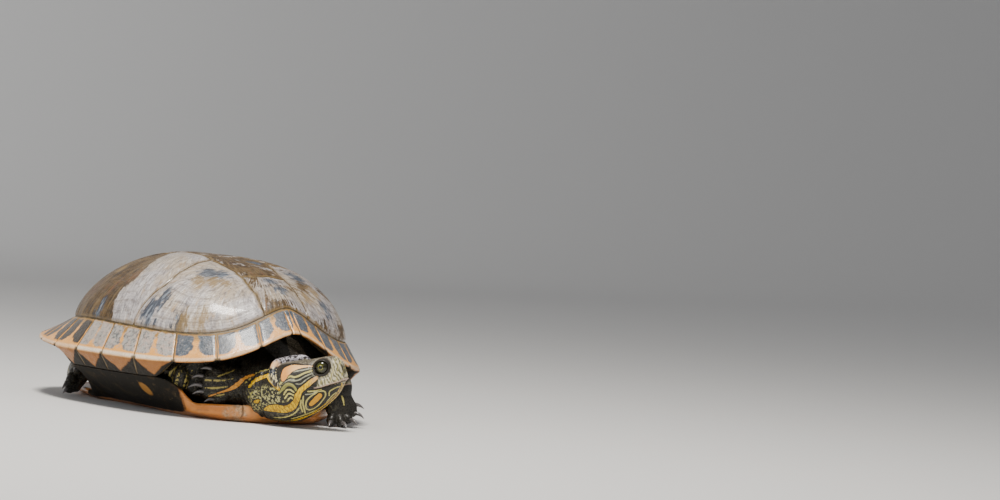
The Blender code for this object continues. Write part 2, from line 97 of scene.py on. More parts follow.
def gone_along(line):
    """The length of the line up to each of its points."""
    return np.concatenate([[0], np.cumsum(np.linalg.norm(np.diff(line, axis=0), axis=1))])


def catmull_rom(a, b, c, d, t):
    """The curve from b to c, which leaves and arrives in step with a and d."""
    return 0.5 * (2 * b + (c - a) * t + (2 * a - 5 * b + 4 * c - d) * t ** 2
                  + (3 * b - a - 3 * c + d) * t ** 3)


print("half way through a soft step:", smoothstep(0, 1, 0.5))

# %% [markdown]
# ## Meshes from grids
# Nearly every piece of this animal is a closed body: a plate of horn, a claw, a tube of
# flesh. Blender's own UV sphere already is one, with its two poles closed and its faces
# turned outwards. So each body starts as a sphere, and its parallels are moved to the
# rings of the shape: a table holds one row for each parallel and one column for each
# meridian, counted anticlockwise when seen from the first pole.

# %% Reading meshes and making them
def vectors(items, key):
    """A row of three numbers for each item of a mesh."""
    flat = np.empty(len(items) * 3, np.float32)
    items.foreach_get(key, flat)
    return flat.reshape(-1, 3).astype(float)


def points_of(mesh):
    """The mesh's points, in millimetres."""
    return vectors(mesh.vertices, "co") / MM


def put_value(mesh, key, value):
    attribute = mesh.attributes.get(key) or mesh.attributes.new(key, "FLOAT", "POINT")
    attribute.data.foreach_set("value", np.asarray(value, np.float32))


def mesh_from(bm, name):
    mesh = bpy.data.meshes.new(name)
    bm.to_mesh(mesh)
    bm.free()
    return mesh


def add_object(name, data):
    obj = bpy.data.objects.new(name, data)
    bpy.context.scene.collection.objects.link(obj)
    return obj


print("one unit of the scene is", round(1 / MM), "mm")


# %% Bodies from tables of points
def ball(segments, steps):
    """A sphere's mesh, with the row and the column of each vertex."""
    bm = bmesh.new()
    bmesh.ops.create_uvsphere(bm, u_segments=segments, v_segments=steps, radius=1)
    mesh = mesh_from(bm, "ball")
    x, y, z = vectors(mesh.vertices, "co").T
    row = np.rint(np.arccos(np.clip(z, -1, 1)) / math.pi * steps).astype(int)
    column = np.rint(np.arctan2(y, x) / (2 * math.pi) * segments).astype(int)
    return mesh, row, column % segments


def mesh_from_grids(name, grids, values=None, recalculate=False):
    """One mesh of several closed bodies, in metres. values: attribute name -> tables."""
    bm = bmesh.new()
    values = values or {}
    found = {key: [] for key in values}
    for index, grid in enumerate(grids):
        mesh, row, column = ball(grid.shape[1], grid.shape[0] - 1)
        mesh.vertices.foreach_set("co", (grid[row, column] * MM).astype(np.float32).ravel())
        bm.from_mesh(mesh)
        bpy.data.meshes.remove(mesh)
        for key, tables in values.items():
            found[key].append(tables[index][row, column])
    if recalculate:
        bmesh.ops.recalc_face_normals(bm, faces=bm.faces[:])
    mesh = mesh_from(bm, name)
    for key, parts in found.items():
        put_value(mesh, key, np.concatenate(parts))
    return mesh


def show(mesh, node_names, material):
    """The finished piece: it rides on the body and stands for these nodes of the frame."""
    obj = add_object(mesh.name, mesh)
    mesh.materials.clear()
    mesh.materials.append(material)
    mesh.shade_smooth()
    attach(obj, "root")
    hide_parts(*node_names)
    print(f"{mesh.name}: {sum(len(p.vertices) - 2 for p in mesh.polygons)} triangles")
    return obj


# %% [markdown]
# ## Shader sums written as Python
# The patterns of the horn and the skin are sums over many small masks. Wiring those by
# hand is slow to read, so one small class wraps a node's output and turns Python's
# operators into Math nodes. Colours go through Mix nodes instead, because a Math node
# would make them grey.

# %% A small language for shader nodes
class Paint:
    """A material under construction. It reads the mesh's values of these names."""

    def __init__(self, name, keys=()):
        self.material = bpy.data.materials.new(name)
        self.material.use_nodes = True
        self.tree = self.material.node_tree
        self.shader = self.tree.nodes["Principled BSDF"]
        for key in keys:
            setattr(self, key, self.value(key))

    def node(self, kind, settings=None, inputs=None, output=0):
        """Any node: its settings are set first, then its sockets by name or number."""
        made = self.tree.nodes.new(kind)
        for key, value in (settings or {}).items():
            setattr(made, key, value)
        for key, value in (inputs or {}).items():
            self.plug(made.inputs[key], value)
        return Sum(self, made.outputs[output])

    def plug(self, socket, value):
        if isinstance(value, Sum):
            self.tree.links.new(value.socket, socket)
        elif hasattr(socket.default_value, "__len__") and len(socket.default_value) == 4:
            socket.default_value = (*value, 1.0)[:4]
        else:
            socket.default_value = value

    def value(self, key):
        return self.node("ShaderNodeAttribute", {"attribute_name": key}, output=2)

    def place(self):
        return self.node("ShaderNodeTexCoord", output=3)

    def axis(self, which):
        """Millimetres along one axis."""
        return self.node("ShaderNodeSeparateXYZ", None, {0: self.place()}, which) * 1000

    def noise(self, size, detail=3.0, roughness=0.5, place=None):
        """Noise from about 0 to 1 whose grain is this many millimetres."""
        where = self.place() if place is None else place
        return self.node("ShaderNodeTexNoise", None, {
            "Vector": where, "Scale": 1000.0 / size, "Detail": detail, "Roughness": roughness})

    def shaky(self, size, detail=3.0, roughness=0.5, place=None):
        """The same noise about 0, to shift an edge or a wave by."""
        return self.noise(size, detail, roughness, place) - 0.5

    def cells(self, size, feature, randomness):
        """Distances in a net of cells of this many millimetres."""
        return self.node("ShaderNodeTexVoronoi", {"feature": feature}, {
            "Vector": self.place(), "Scale": 1000.0 / size, "Randomness": randomness},
            "Distance")

    def stretched(self, scale):
        """Places made denser along each axis by these factors."""
        return self.node("ShaderNodeVectorMath", {"operation": "MULTIPLY"},
                         {0: self.place(), 1: scale})

    def combine(self, x, y, z):
        return self.node("ShaderNodeCombineXYZ", None, {0: x, 1: y, 2: z})

    def blend(self, factor, under, over):
        """The colour under, with over laid on it where the factor is 1."""
        return self.node("ShaderNodeMix", {"data_type": "RGBA"}, {0: factor, 6: under, 7: over}, 2)

    def rise(self, value, low, high):
        """0 below low, 1 above high, and a soft step between."""
        return self.node("ShaderNodeMapRange", {"interpolation_type": "SMOOTHSTEP"},
                         {"Value": value, "From Min": low, "From Max": high})

    def below(self, value, low, high):
        """1 below low, 0 above high."""
        return 1 - self.rise(value, low, high)

    def within(self, value, low, high, soft):
        return self.rise(value, low - soft, low + soft) * self.below(value, high - soft, high + soft)

    def finish(self, color, roughness, height=None, strength=1.0, **sockets):
        """Colour, gloss and a relief whose height is in millimetres."""
        self.plug(self.shader.inputs["Base Color"], color)
        self.plug(self.shader.inputs["Roughness"], roughness)
        for key, value in sockets.items():
            self.plug(self.shader.inputs[key.replace("_", " ")], value)
        if height is not None:
            bump = self.node("ShaderNodeBump", None,
                             {"Strength": strength, "Distance": MM, "Height": height})
            self.plug(self.shader.inputs["Normal"], bump)
        print(f"{self.material.name}: {len(self.tree.nodes)} shader nodes")
        return self.material


class Sum:
    """A socket with arithmetic: an expression on values adds its Math nodes."""

    def __init__(self, paint, socket):
        self.paint = paint
        self.socket = socket

    def math(self, operation, other=0.0, swap=False):
        first, second = (other, self) if swap else (self, other)
        return self.paint.node("ShaderNodeMath", {"operation": operation}, {0: first, 1: second})

    __add__ = __radd__ = lambda self, other: self.math("ADD", other)
    __mul__ = __rmul__ = lambda self, other: self.math("MULTIPLY", other)
    __sub__ = lambda self, other: self.math("SUBTRACT", other)
    __rsub__ = lambda self, other: self.math("SUBTRACT", other, swap=True)
    __truediv__ = lambda self, other: self.math("DIVIDE", other)
    __neg__ = lambda self: self.math("MULTIPLY", -1.0)
    most = lambda self, other: self.math("MAXIMUM", other)
    size = lambda self: self.math("ABSOLUTE")
    wave = lambda self: self.math("SINE")
    power = lambda self, exponent: self.math("POWER", exponent)


# %% [markdown]
# ## The form of the upper shell
# Seen from above, the rim is a rounded box, a little wider behind. From the side the dome
# is low and long, and its highest point lies behind the middle. The same formulas shaped
# the solid, so the plates lie on it exactly; its size is read off the solid's own box.
# An angle of 0 is the front, and it grows over the right side of the animal.

# %% Sizes of the upper shell
CROWN_BACK = 16.0               # the highest point lies this far behind the middle
RIM_HEIGHT = 35.6
RIM_ARCH = 24.6                 # the rim is this much higher over the neck
RIM_ARCH_SPREAD = 0.40          # in radians round the outline
RIM_REAR_RISE = 4.5
REAR_RISE_START = math.radians(100)
REAR_RISE_END = math.radians(150)
MARGIN_WIDTH = 15.3
REAR_WIDENING = 10.3            # the margin is this much wider behind, where it flares
WIDENING_START = math.radians(90)
WIDENING_END = math.radians(140)
SHOULDER_NARROWING = 3.0        # the margin is narrower and steeper over the forelegs
SHOULDER_ANGLE = math.radians(50)
SHOULDER_SPREAD = 0.6
SHOULDER_POWER = 1.2
FRONT_SQUARENESS = 2.50
REAR_SQUARENESS = 2.24
REAR_SPREAD = 0.05              # the share by which the rear half is broader
SHELL_WALL = 4.0

# Front, side and rear values, blended round the outline.
MARGIN_RISE = (14.8, 19.8, 6.0)
DOME_POWER = (2.75, 2.05, 1.70)
DOME_FULLNESS = (1.40, 1.60, 1.55)

shell_low, shell_high = (np.array(corner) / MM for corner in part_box("carapace"))
HALF_LENGTH = (shell_high[1] - shell_low[1]) / 2
SHELL_HEIGHT = shell_high[2]
print("shell length and height:", round(2 * HALF_LENGTH, 1), round(SHELL_HEIGHT, 1), "mm")


# %% The outline of the rim
def front_side_rear(values, theta):
    """The three values blended round the outline by the square of the cosine."""
    front, side, rear = values
    c = np.cos(theta)
    return mix(side, np.where(c > 0, front, rear), c * c)


def squared_off(c, s, n):
    """How far a circle's point moves out when the circle becomes a rounded box."""
    return (np.abs(c) ** n + np.abs(s) ** n) ** (-1 / n)


def unit_outline(theta):
    c, s = np.cos(theta), np.sin(theta)
    f = squared_off(c, s, mix(REAR_SQUARENESS, FRONT_SQUARENESS, np.clip(2 * c, 0, 1)))
    return -s * f * (1 - REAR_SPREAD * c), -c * f


TURNS = np.linspace(-math.pi, math.pi, 7201)
HALF_WIDTH = (shell_high[0] - shell_low[0]) / 2 / unit_outline(TURNS)[0].max()


def outline(theta):
    x, y = unit_outline(theta)
    return x * HALF_WIDTH, y * HALF_LENGTH


def rim_height(theta):
    turn = np.abs(theta)
    arch = RIM_ARCH * np.exp(-((turn / RIM_ARCH_SPREAD) ** 1.7))
    return RIM_HEIGHT + arch + RIM_REAR_RISE * smoothstep(REAR_RISE_START, REAR_RISE_END, turn)


def reach_of(theta):
    """From the crown to the rim, seen from above."""
    x, y = outline(theta)
    return np.hypot(x, y - CROWN_BACK)


print("half width of the rim:", round(HALF_WIDTH, 1), "mm")


# %% The dome and its margin
def rear_widening(theta):
    return REAR_WIDENING * smoothstep(WIDENING_START, WIDENING_END, np.abs(theta))


def margin_start(theta):
    """The share of the way from the crown to the rim at which the margin begins."""
    shoulder = hill(np.abs(theta) - SHOULDER_ANGLE, SHOULDER_SPREAD)
    width = MARGIN_WIDTH + rear_widening(theta) - SHOULDER_NARROWING * shoulder
    return 1 - width / reach_of(theta)


def shell_point(rho, theta):
    """Outer face of the shell: rho is 0 at the crown and 1 at the rim."""
    x, y = outline(theta)
    start = margin_start(theta)
    z_rim = rim_height(theta)
    z_start = z_rim + front_side_rear(MARGIN_RISE, theta)
    shoulder = np.where(np.cos(theta) > 0, SHOULDER_POWER * np.sin(2 * theta) ** 2, 0.0)
    power = front_side_rear(DOME_POWER, theta) + shoulder
    share = np.clip(1 - (np.minimum(rho, start) / start) ** power, 0, 1)
    dome = mix(z_start, SHELL_HEIGHT, share ** (1 / front_side_rear(DOME_FULLNESS, theta)))
    edge = mix(z_start, z_rim, (rho - start) / (1 - start))
    return np.stack([x * rho, mix(CROWN_BACK, y, rho), np.where(rho > start, edge, dome)], -1)


TURN_OF = np.unwrap(np.arctan2(-outline(TURNS)[0], CROWN_BACK - outline(TURNS)[1]))


def polar_of(x, y):
    """The rho and theta of a place seen from above."""
    theta = np.interp(np.arctan2(-x, CROWN_BACK - y), TURN_OF, TURNS)
    return np.hypot(x, y - CROWN_BACK) / reach_of(theta), theta


def sunk(surface, a, b, depth, step=0.004):
    """Points that lie depth under a surface of two parameters, square to it."""
    along = surface(a + step, b) - surface(a - step, b)
    across = surface(a, b + step) - surface(a, b - step)
    return surface(a, b) - unit(np.cross(across, along)) * np.asarray(depth)[..., None]


print("margin at the front, side and rear:", *(
    round(float((1 - margin_start(a)) * reach_of(a)), 1) for a in (0.0, math.pi / 2, math.pi)))

# %% [markdown]
# ## The seams of the upper shell
# Five vertebral plates run down the back, four costal plates lie on each side, and 25
# small marginal plates frame them. Neighbours share a seam, so each seam is one curve,
# drawn once for the right side and mirrored for the left. A slow wave along it keeps it
# from looking ruled.

# %% Seam curves, seen from above
MARGINAL_SEAMS = np.radians([1.9, 15.4, 31.7, 46.6, 60.9, 75.1, 88.9, 103.4, 118.1, 133.5,
                             149.2, 165.3, 180.0])
FIRST_CORNER = math.radians(11.5)       # where the first vertebral seam meets the margin
LAST_CORNER = math.radians(165.3)


def smooth_line(points, spacing=0.6):
    """A Catmull-Rom curve through the points, with a point about every spacing."""
    p = np.array(points, float)
    p = np.concatenate([2 * p[:1] - p[1:2], p, 2 * p[-1:] - p[-2:-1]])
    rows = []
    for a, b, c, d in zip(p[:-3], p[1:-2], p[2:-1], p[3:]):
        count = max(2, int(np.linalg.norm(c - b) / spacing))
        rows.append(catmull_rom(a, b, c, d, np.linspace(0, 1, count, endpoint=False)[:, None]))
    return np.concatenate(rows + [p[-2:-1]])


def seam(points, phase, height=0.35):
    """A smooth line with a slow wave across it that fades out at both ends."""
    line = smooth_line(points)
    ahead = unit(np.gradient(line, axis=0))
    gone = gone_along(line)
    fade = np.clip(np.minimum(gone, gone[-1] - gone) / 5, 0, 1)
    wave = np.sin(gone / 3.1 + phase) + 0.6 * np.sin(gone / 1.37 + 2.3 * phase)
    return line + np.stack([-ahead[:, 1], ahead[:, 0]], 1) * (height * fade * wave)[:, None]


def border(start, end):
    """The inner edge of the margin between two angles."""
    theta = np.linspace(start, end, max(4, int(abs(end - start) * 160)))
    return shell_point(margin_start(theta), theta)[:, :2]


def border_end(theta):
    return border(theta, theta)[0]


def theta_at(x, y):
    return float(polar_of(np.array(x), np.array(y))[1])


print("seams between the marginal plates of a side:", len(MARGINAL_SEAMS))


# %% The seams
COSTAL_ENDS = (FIRST_CORNER, theta_at(-76.0, -46.5), theta_at(-73.5, 34.6),
               math.radians(137), LAST_CORNER)
# The corners of the vertebral plates, from the front: between two of them, then at a side.
CORNERS = (border_end(FIRST_CORNER), (-16.0, -76.0), (-21.5, -43.0), (-16.0, -20.0),
           (-22.0, 12.0), (-16.0, 30.0), (-21.0, 52.0), (-15.0, 70.0), border_end(LAST_CORNER))
SIDE_BENDS = ((-16.4, -91), (-17.5, -60), (-17.2, -32), (-17.5, -4), (-17.5, 22), (-17.2, 41),
              (-16.2, 62), (-15.4, 84))
SIDE_PHASES = (0.4, 1.9, 3.1, 0.2, 5.2, 4.0, 2.2, 1.2)
COSTAL_BENDS = (((-33.6, -48), (-46.4, -52), (-58, -54), (-67.5, -51)),
                ((-25, 20), (-35, 30), (-44, 39), (-58, 43)),
                ((-31, 60), (-41, 68.5)))


def across(corner, bow, phase):
    """The seam between two vertebral plates, from the right side to the left."""
    x, y = corner
    return seam([(x, y), (x / 2, y + bow), (0, y + bow * 1.3), (-x / 2, y + bow), (-x, y)],
                phase, 0.3)


side_seams = [seam(line, phase) for *line, phase in
              zip(CORNERS[:-1], SIDE_BENDS, CORNERS[1:], SIDE_PHASES)]
costal_seams = [seam([corner, *bends, border_end(end)], phase) for corner, bends, end, phase in
                zip(CORNERS[2::2], COSTAL_BENDS, COSTAL_ENDS[1:], (0.9, 2.7, 4.4))]
cross_seams = [across(*row) for row in
               zip(CORNERS[1::2], (-1.5, -2.0, 2.0, 3.0), (0.3, 1.7, 3.3, 4.9))]
print("seams:", len(side_seams), len(costal_seams), len(cross_seams))


# %% Outlines of the dome plates
def mirrored(line):
    """The line on the other side, run through backwards."""
    return (line * (-1, 1))[::-1]


def ring_of(*lines):
    """The closed outline through these seams, turned anticlockwise from above."""
    closed = np.concatenate([line[:-1] for line in lines])
    x, y = closed[:, 0], closed[:, 1]
    area = np.sum(x * np.roll(y, -1) - np.roll(x, -1) * y)
    return closed if area > 0 else closed[::-1]


vertebral_outlines, costal_outlines = [], []
fronts = [border(-FIRST_CORNER, FIRST_CORNER)] + [line[::-1] for line in cross_seams]
rears = cross_seams + [border(LAST_CORNER, 2 * math.pi - LAST_CORNER)]
for number, (front, rear) in enumerate(zip(fronts, rears)):
    sides = side_seams[max(2 * number - 1, 0):2 * number + 1]
    others = [mirrored(line) for line in reversed(sides)]
    vertebral_outlines.append(ring_of(front, *sides, rear, *others))
for number in range(4):
    inner = side_seams[2 * number:2 * number + 2]
    rear = costal_seams[number:number + 1]
    front = [line[::-1] for line in costal_seams[max(number - 1, 0):number]]
    outer = border(COSTAL_ENDS[number + 1], COSTAL_ENDS[number])
    costal_outlines.append(ring_of(*inner, *rear, outer, *front))
costal_outlines += [mirrored(line) for line in costal_outlines]
print("dome plates:", len(vertebral_outlines) + len(costal_outlines))

# %% [markdown]
# ## Plates of horn
# Each plate, or scute, is its own thin body of horn that grew outwards from a small
# starting field. So a plate is a sphere whose parallels become rings that shrink from its
# outline towards that field: the rings crowd together near the edge, where the plate
# rolls down into the seam, and the same rings later carry the growth lines.

# %% Building one plate
EDGE_FALL = 0.80           # how far a plate's edge dips into the seam
EDGE_ROLL = 0.8            # the width over which it dips
EDGE_CROWDING = 1.8        # above 1, the rings crowd together near the edge
PLATE_SINK = 0.1
PLATE_FOOT = 2.2           # how deep a plate is set into the shell below


def resampled(line, count):
    """The closed line as this many points, equally far apart."""
    closed = np.concatenate([line, line[:1]])
    gone = gone_along(closed)
    at = np.arange(count) / count * gone[-1]
    return np.stack([np.interp(at, gone, closed[:, i]) for i in range(2)], 1)


def ring_shares(rings):
    """How far out from the middle each ring lies; the last three go round and under."""
    share = 1 - (1 - np.arange(rings + 1) / rings) ** EDGE_CROWDING
    return np.concatenate([share, [1.0, 0.5, 0.0]])[:, None]


def edge_distance(edge, centre, flat):
    """How far each point on top is from the edge, measured over the surface."""
    reach = edge - centre
    run = unit(np.roll(edge, -1, 0) - np.roll(edge, 1, 0))
    square = np.abs(reach[:, 0] * run[:, 1] - reach[:, 1] * run[:, 0])
    square = (square + np.roll(square, 1) + np.roll(square, -1)) / 3
    steps = np.linalg.norm(np.diff(flat, axis=0), axis=2)[::-1]
    return np.cumsum(steps, axis=0)[::-1] * square / np.linalg.norm(reach, axis=1)


def plate(line, centre, surface, rings, segments):
    """Grids of one plate: its points, and the distance from its edge."""
    edge = resampled(line, segments)
    x, y = np.moveaxis(centre + (edge - centre) * ring_shares(rings)[:, :, None], -1, 0)
    inside = np.zeros(x.shape)
    flat = surface(x, y, inside)[:rings + 1]
    inside[:rings] = edge_distance(edge, centre, flat)
    depth = PLATE_SINK + EDGE_FALL * np.exp(-(inside / EDGE_ROLL) ** 1.2)
    depth[rings + 1:] = PLATE_FOOT
    points = surface(x, y, depth)
    points[0] = points[0].mean(0)
    points[-1] = points[-1].mean(0)
    return points, inside


def dome_surface(x, y, depth):
    """The dome over a place seen from above, sunk square to itself."""
    def height(u, v):
        rho, theta = polar_of(u, v)
        return shell_point(np.minimum(rho, margin_start(theta)), theta)[..., 2]

    h = 0.25
    z = height(x, y)
    normal = np.stack([(height(x - h, y) - height(x + h, y)) / (2 * h),
                       (height(x, y - h) - height(x, y + h)) / (2 * h), np.ones_like(z)], -1)
    return np.stack([x, y, z], -1) - unit(normal) * depth[..., None]


print("the edge of a plate dips by", EDGE_FALL, "mm")


# %% The plates of the dome
def seed_of(line, lean):
    """Where the growth of a plate began: near its middle, moved by lean."""
    return resampled(line, 200).mean(0) + lean


dome_plates = []
for line in vertebral_outlines:
    dome_plates.append(plate(line, seed_of(line, (0, 3)), dome_surface, 26, 132))
for line in costal_outlines:
    inward = -np.sign(line[:, 0].mean()) * 4
    dome_plates.append(plate(line, seed_of(line, (inward, 2)), dome_surface, 32, 152))
print("largest dome plate is", round(max(np.ptp(p[0][..., 1]) for p in dome_plates)), "mm long")

# %% [markdown]
# ## The margin
# A marginal plate covers the rim from above and from below. Its surface is worked out
# along the rim and down it: from the costal plates out to the edge, round the rounded
# edge, and in under the shell, where it meets the bridge or the soft skin.

# %% The surface of the rim
BRIDGE_START = math.radians(44)      # angles round the outline, 0 at the front
BRIDGE_END = math.radians(108)
BRIDGE_BLEND = math.radians(10)
OPEN_MARGIN = 12.0                   # underside of the rim over the limbs
VENTRAL_MARGIN = 9.0                 # underside of the rim where the bridge joins it
VENTRAL_DROP = 12.0
TOP_END, NOSE_END = 0.56, 0.70       # shares of the way from the dome to under the rim
NOSE = 1.2                           # how far the rounded edge reaches in


def bridge(theta):
    """1 where the bridge joins the two shells."""
    turn = np.abs(theta)
    return (smoothstep(BRIDGE_START, BRIDGE_START + BRIDGE_BLEND, turn)
            * (1 - smoothstep(BRIDGE_END - BRIDGE_BLEND, BRIDGE_END, turn)))


def inset(theta, distance):
    x, y = outline(theta)
    scale = 1 - distance / np.hypot(x, y)
    return np.stack([x * scale, y * scale, 0 * x], -1)


def lifted(points, z):
    return np.concatenate([points[..., :2], np.asarray(z)[..., None]], -1)


def under_rim(theta, extra=0.0):
    b = bridge(theta)
    width = mix(OPEN_MARGIN, VENTRAL_MARGIN, b) + extra
    return lifted(inset(theta, width), rim_height(theta) + mix(1.5, -VENTRAL_DROP, b))


def rim_surface(down, theta):
    """Outer face of the margin: down is 0 at the dome and 1 under the rim."""
    z = rim_height(theta)
    edge_rho = 1 - NOSE / reach_of(theta)
    top = shell_point(mix(margin_start(theta), edge_rho, down / TOP_END), theta)
    a = shell_point(edge_rho, theta)
    b = lifted(inset(theta, 0.05), z - 0.05)
    c = lifted(inset(theta, 0.05), z - 2.2)
    under = under_rim(theta)
    lip = lifted(inset(theta, 0.6), z - 1.6)
    d = mix(lip, under, 0.22)
    t = np.clip((down - TOP_END) / (NOSE_END - TOP_END), 0, 1)[..., None]
    nose = a * (1 - t) ** 3 + 3 * b * t * (1 - t) ** 2 + 3 * c * t * t * (1 - t) + d * t ** 3
    low = mix(d, under, ((down - NOSE_END) / (1 - NOSE_END))[..., None])
    return np.where((down < TOP_END)[..., None], top,
                    np.where((down < NOSE_END)[..., None], nose, low))


print("underside of the rim at the bridge:", under_rim(np.array(math.pi / 2)).round(1))

# %% Marginal plates
ALONG, DOWN = 100.0, 38.0            # about one millimetre to a unit of the plate's own plan
NUCHAL_HALF_WIDTH = 4.5              # of the small front plate, at its inner end
RINGS, SEGMENTS = 15, 100


def margin_surface(u, v, depth):
    return sunk(rim_surface, -v / DOWN, u / ALONG, depth)


def below_edge(v):
    """Millimetres from the edge of the rim, positive on its upper side."""
    return np.interp(-v / DOWN, (0, TOP_END, NOSE_END, 1), (21.5, 1.5, -3.0, -13.0))


def marginal_outline(start, end, front_inner=None):
    """A plate of the margin in its own plan; the nuchal plate is wider at its inner end."""
    u0, u1 = start * ALONG, end * ALONG
    v = np.linspace(0, -DOWN, 60)
    left = np.stack([np.full(60, u0), v], 1)
    right = np.stack([np.full(60, u1), v], 1)
    if front_inner:
        spread = (front_inner - u1) * np.clip(1 + v / (DOWN * TOP_END), 0, 1)
        right[:, 0] += spread
        left[:, 0] -= spread
    top = np.stack([np.linspace(right[0, 0], left[0, 0], 40), np.zeros(40)], 1)
    foot = np.stack([np.linspace(left[-1, 0], right[-1, 0], 40), np.full(40, -DOWN)], 1)
    return ring_of(top, left, foot, right[::-1])


margin_ends = list(zip(MARGINAL_SEAMS[:-1], MARGINAL_SEAMS[1:]))
margin_ends += [(-b, -a) for a, b in margin_ends]
marginal_outlines = [marginal_outline(-MARGINAL_SEAMS[0], MARGINAL_SEAMS[0], NUCHAL_HALF_WIDTH)]
marginal_outlines += [marginal_outline(a, b) for a, b in margin_ends]
margin_plates, margin_across, margin_down = [], [], []
for line in marginal_outlines:
    middle = np.array([(line[:, 0].min() + line[:, 0].max()) / 2, -DOWN * 0.42])
    place = middle + (resampled(line, SEGMENTS) - middle) * ring_shares(RINGS)[:, :, None]
    margin_plates.append(plate(line, middle, margin_surface, RINGS, SEGMENTS))
    margin_across.append((place[..., 0] - middle[0]) / (np.ptp(line[:, 0]) / 2))
    margin_down.append(below_edge(place[..., 1]))
print("marginal plates:", len(margin_plates))

# %% [markdown]
# ## The shell under the plates
# Bone carries the plates, and what shows of it is only the floor of the seams and the
# inside of the shell. It is one body of rings: down the dome a little under the plates,
# round the rim, and back up inside.

# %% Shell body
SEAM_FLOOR = 0.6


def ring_angles(segments):
    """The angle round the shell of each column, 0 at the front."""
    turn = -2 * math.pi * np.arange(segments) / segments - math.pi / 2
    return np.arctan2(np.sin(turn), np.cos(turn))


def shell_body(segments):
    theta = ring_angles(segments)
    start = margin_start(theta)
    ones = np.ones_like(theta)
    rows = []
    for level in np.linspace(0.06, 1, 18):
        rows.append(sunk(shell_point, level * start, theta, SEAM_FLOOR * ones))
    for down in (0.2, 0.4, 0.54, 0.6, 0.64, 0.68, 0.8, 0.97):
        rows.append(sunk(rim_surface, down * ones, theta, SEAM_FLOOR * ones))
    rows.append(under_rim(theta, 3.0 + rear_widening(theta) * (1 - bridge(theta))) + [0, 0, 0.6])
    for level in (0.96, 0.9, 0.8, 0.66, 0.5, 0.34, 0.18):
        rows.append(sunk(shell_point, level * start, theta, SHELL_WALL * ones))
    crown = np.array([0, CROWN_BACK, SHELL_HEIGHT])
    top = np.broadcast_to(crown - [0, 0, SEAM_FLOOR], rows[0].shape)
    bottom = np.broadcast_to(crown - [0, 0, SHELL_WALL], rows[0].shape)
    return np.stack([top, *rows, bottom])


body_grid = shell_body(256)
print("rings of the shell body:", len(body_grid))

# %% [markdown]
# ## The belly shell
# The plastron is a flat plate with a raised rounded edge, joined to the upper shell by a
# bridge on each side. Its rings run over the inner face, round the edge and in under the
# belly, on a smooth curve through the same stations as the solid's.

# %% Belly shell rings
LOBE_HALF_LENGTH = (114.0, 112.0)        # front and rear
LOBE_HALF_WIDTH = (66.0, 56.0)
LOBE_SQUARENESS = 2.6
LOBE_EDGE_HEIGHT = 6.0
LOBE_EDGE_CURL = 6.0                     # the front lobe curls up by this much more
BELLY_WALL = 5.0
BELLY_FLAT = 0.93                        # share of the lobe outline that lies flat
WAIST_CURL = 0.27                        # how much less of it is flat between the bridges
WAIST_ANGLE = math.radians(80)
WAIST_SPREAD = math.radians(32)
GAP = 0.3


def lobe(theta, scale=1.0, offset=0.0):
    """The outline of the belly shell, scaled, and drawn in by an offset."""
    c, s = np.cos(theta), np.sin(theta)
    f = squared_off(c, s, LOBE_SQUARENESS)
    half_width = mix(*LOBE_HALF_WIDTH, smoothstep(-0.2, 0.6, -c))
    x, y = -half_width * s * f, -np.where(c > 0, *LOBE_HALF_LENGTH) * c * f
    factor = scale * (1 - offset / np.hypot(x, y))
    return np.stack([x * factor, y * factor, 0 * x], -1)


def lobe_edge_height(theta):
    return LOBE_EDGE_HEIGHT + LOBE_EDGE_CURL * np.maximum(np.cos(theta), 0) ** 1.5


def belly_stations(theta):
    b = bridge(theta)[:, None]
    high = lobe_edge_height(theta)

    def lerp(open_edge, at_bridge):
        return open_edge * (1 - b) + at_bridge * b

    def bridge_top(extra):
        return under_rim(theta, extra) - [0, 0, GAP]

    waist = hill(np.abs(theta) - WAIST_ANGLE, WAIST_SPREAD)
    return [
        lobe(theta, 0.4) + [0, 0, BELLY_WALL],
        lobe(theta, 0.66) + [0, 0, BELLY_WALL],
        lerp(lifted(lobe(theta, 1, 4), np.maximum(high - 0.5, BELLY_WALL)),
             lobe(theta, 0.92) + [0, 0, BELLY_WALL + 7]),
        lerp(lifted(lobe(theta, 1, 1.4), high), bridge_top(4.0)),
        lerp(lifted(lobe(theta, 1, 0), high - 1.6), bridge_top(0.4)),
        lerp(lifted(lobe(theta, 1, 0.8), 0.35 * high), lobe(theta, 0.98) + [0, 0, 8]),
        lobe(theta, BELLY_FLAT - WAIST_CURL * waist),
        lobe(theta, 0.4),
    ]


def curve_rows(stations, counts):
    """Rows along a smooth curve through the stations: how many go into each gap."""
    p = [2 * stations[0] - stations[1], *stations, 2 * stations[-1] - stations[-2]]
    rows = []
    for index, count in enumerate(counts):
        a, b, c, d = p[index:index + 4]
        tight = 0.5 * (1 - (np.linalg.norm(c - b, axis=-1, keepdims=True) > 12) * 0.6)
        m1, m2 = (c - a) * tight, (d - b) * tight
        limit = np.linalg.norm(c - b, axis=-1, keepdims=True) * 1.2
        for m in (m1, m2):
            m *= np.minimum(1, limit / np.maximum(np.linalg.norm(m, axis=-1, keepdims=True), 1e-9))
        for t in np.linspace(0, 1, count, endpoint=False):
            rows.append((2 * t ** 3 - 3 * t ** 2 + 1) * b + (t ** 3 - 2 * t ** 2 + t) * m1
                        + (3 * t ** 2 - 2 * t ** 3) * c + (t ** 3 - t ** 2) * m2)
    return rows + [stations[-1]]


belly_theta = ring_angles(256)
belly_rows = curve_rows(belly_stations(belly_theta), (3, 6, 8, 6, 8, 10, 14))
centre = np.zeros_like(belly_rows[0])
belly_grid = np.stack([centre + [0, 0, BELLY_WALL], *belly_rows, centre])
belly_grid[..., 2] = np.maximum(belly_grid[..., 2], 0)
print("rings of the belly shell:", len(belly_grid))

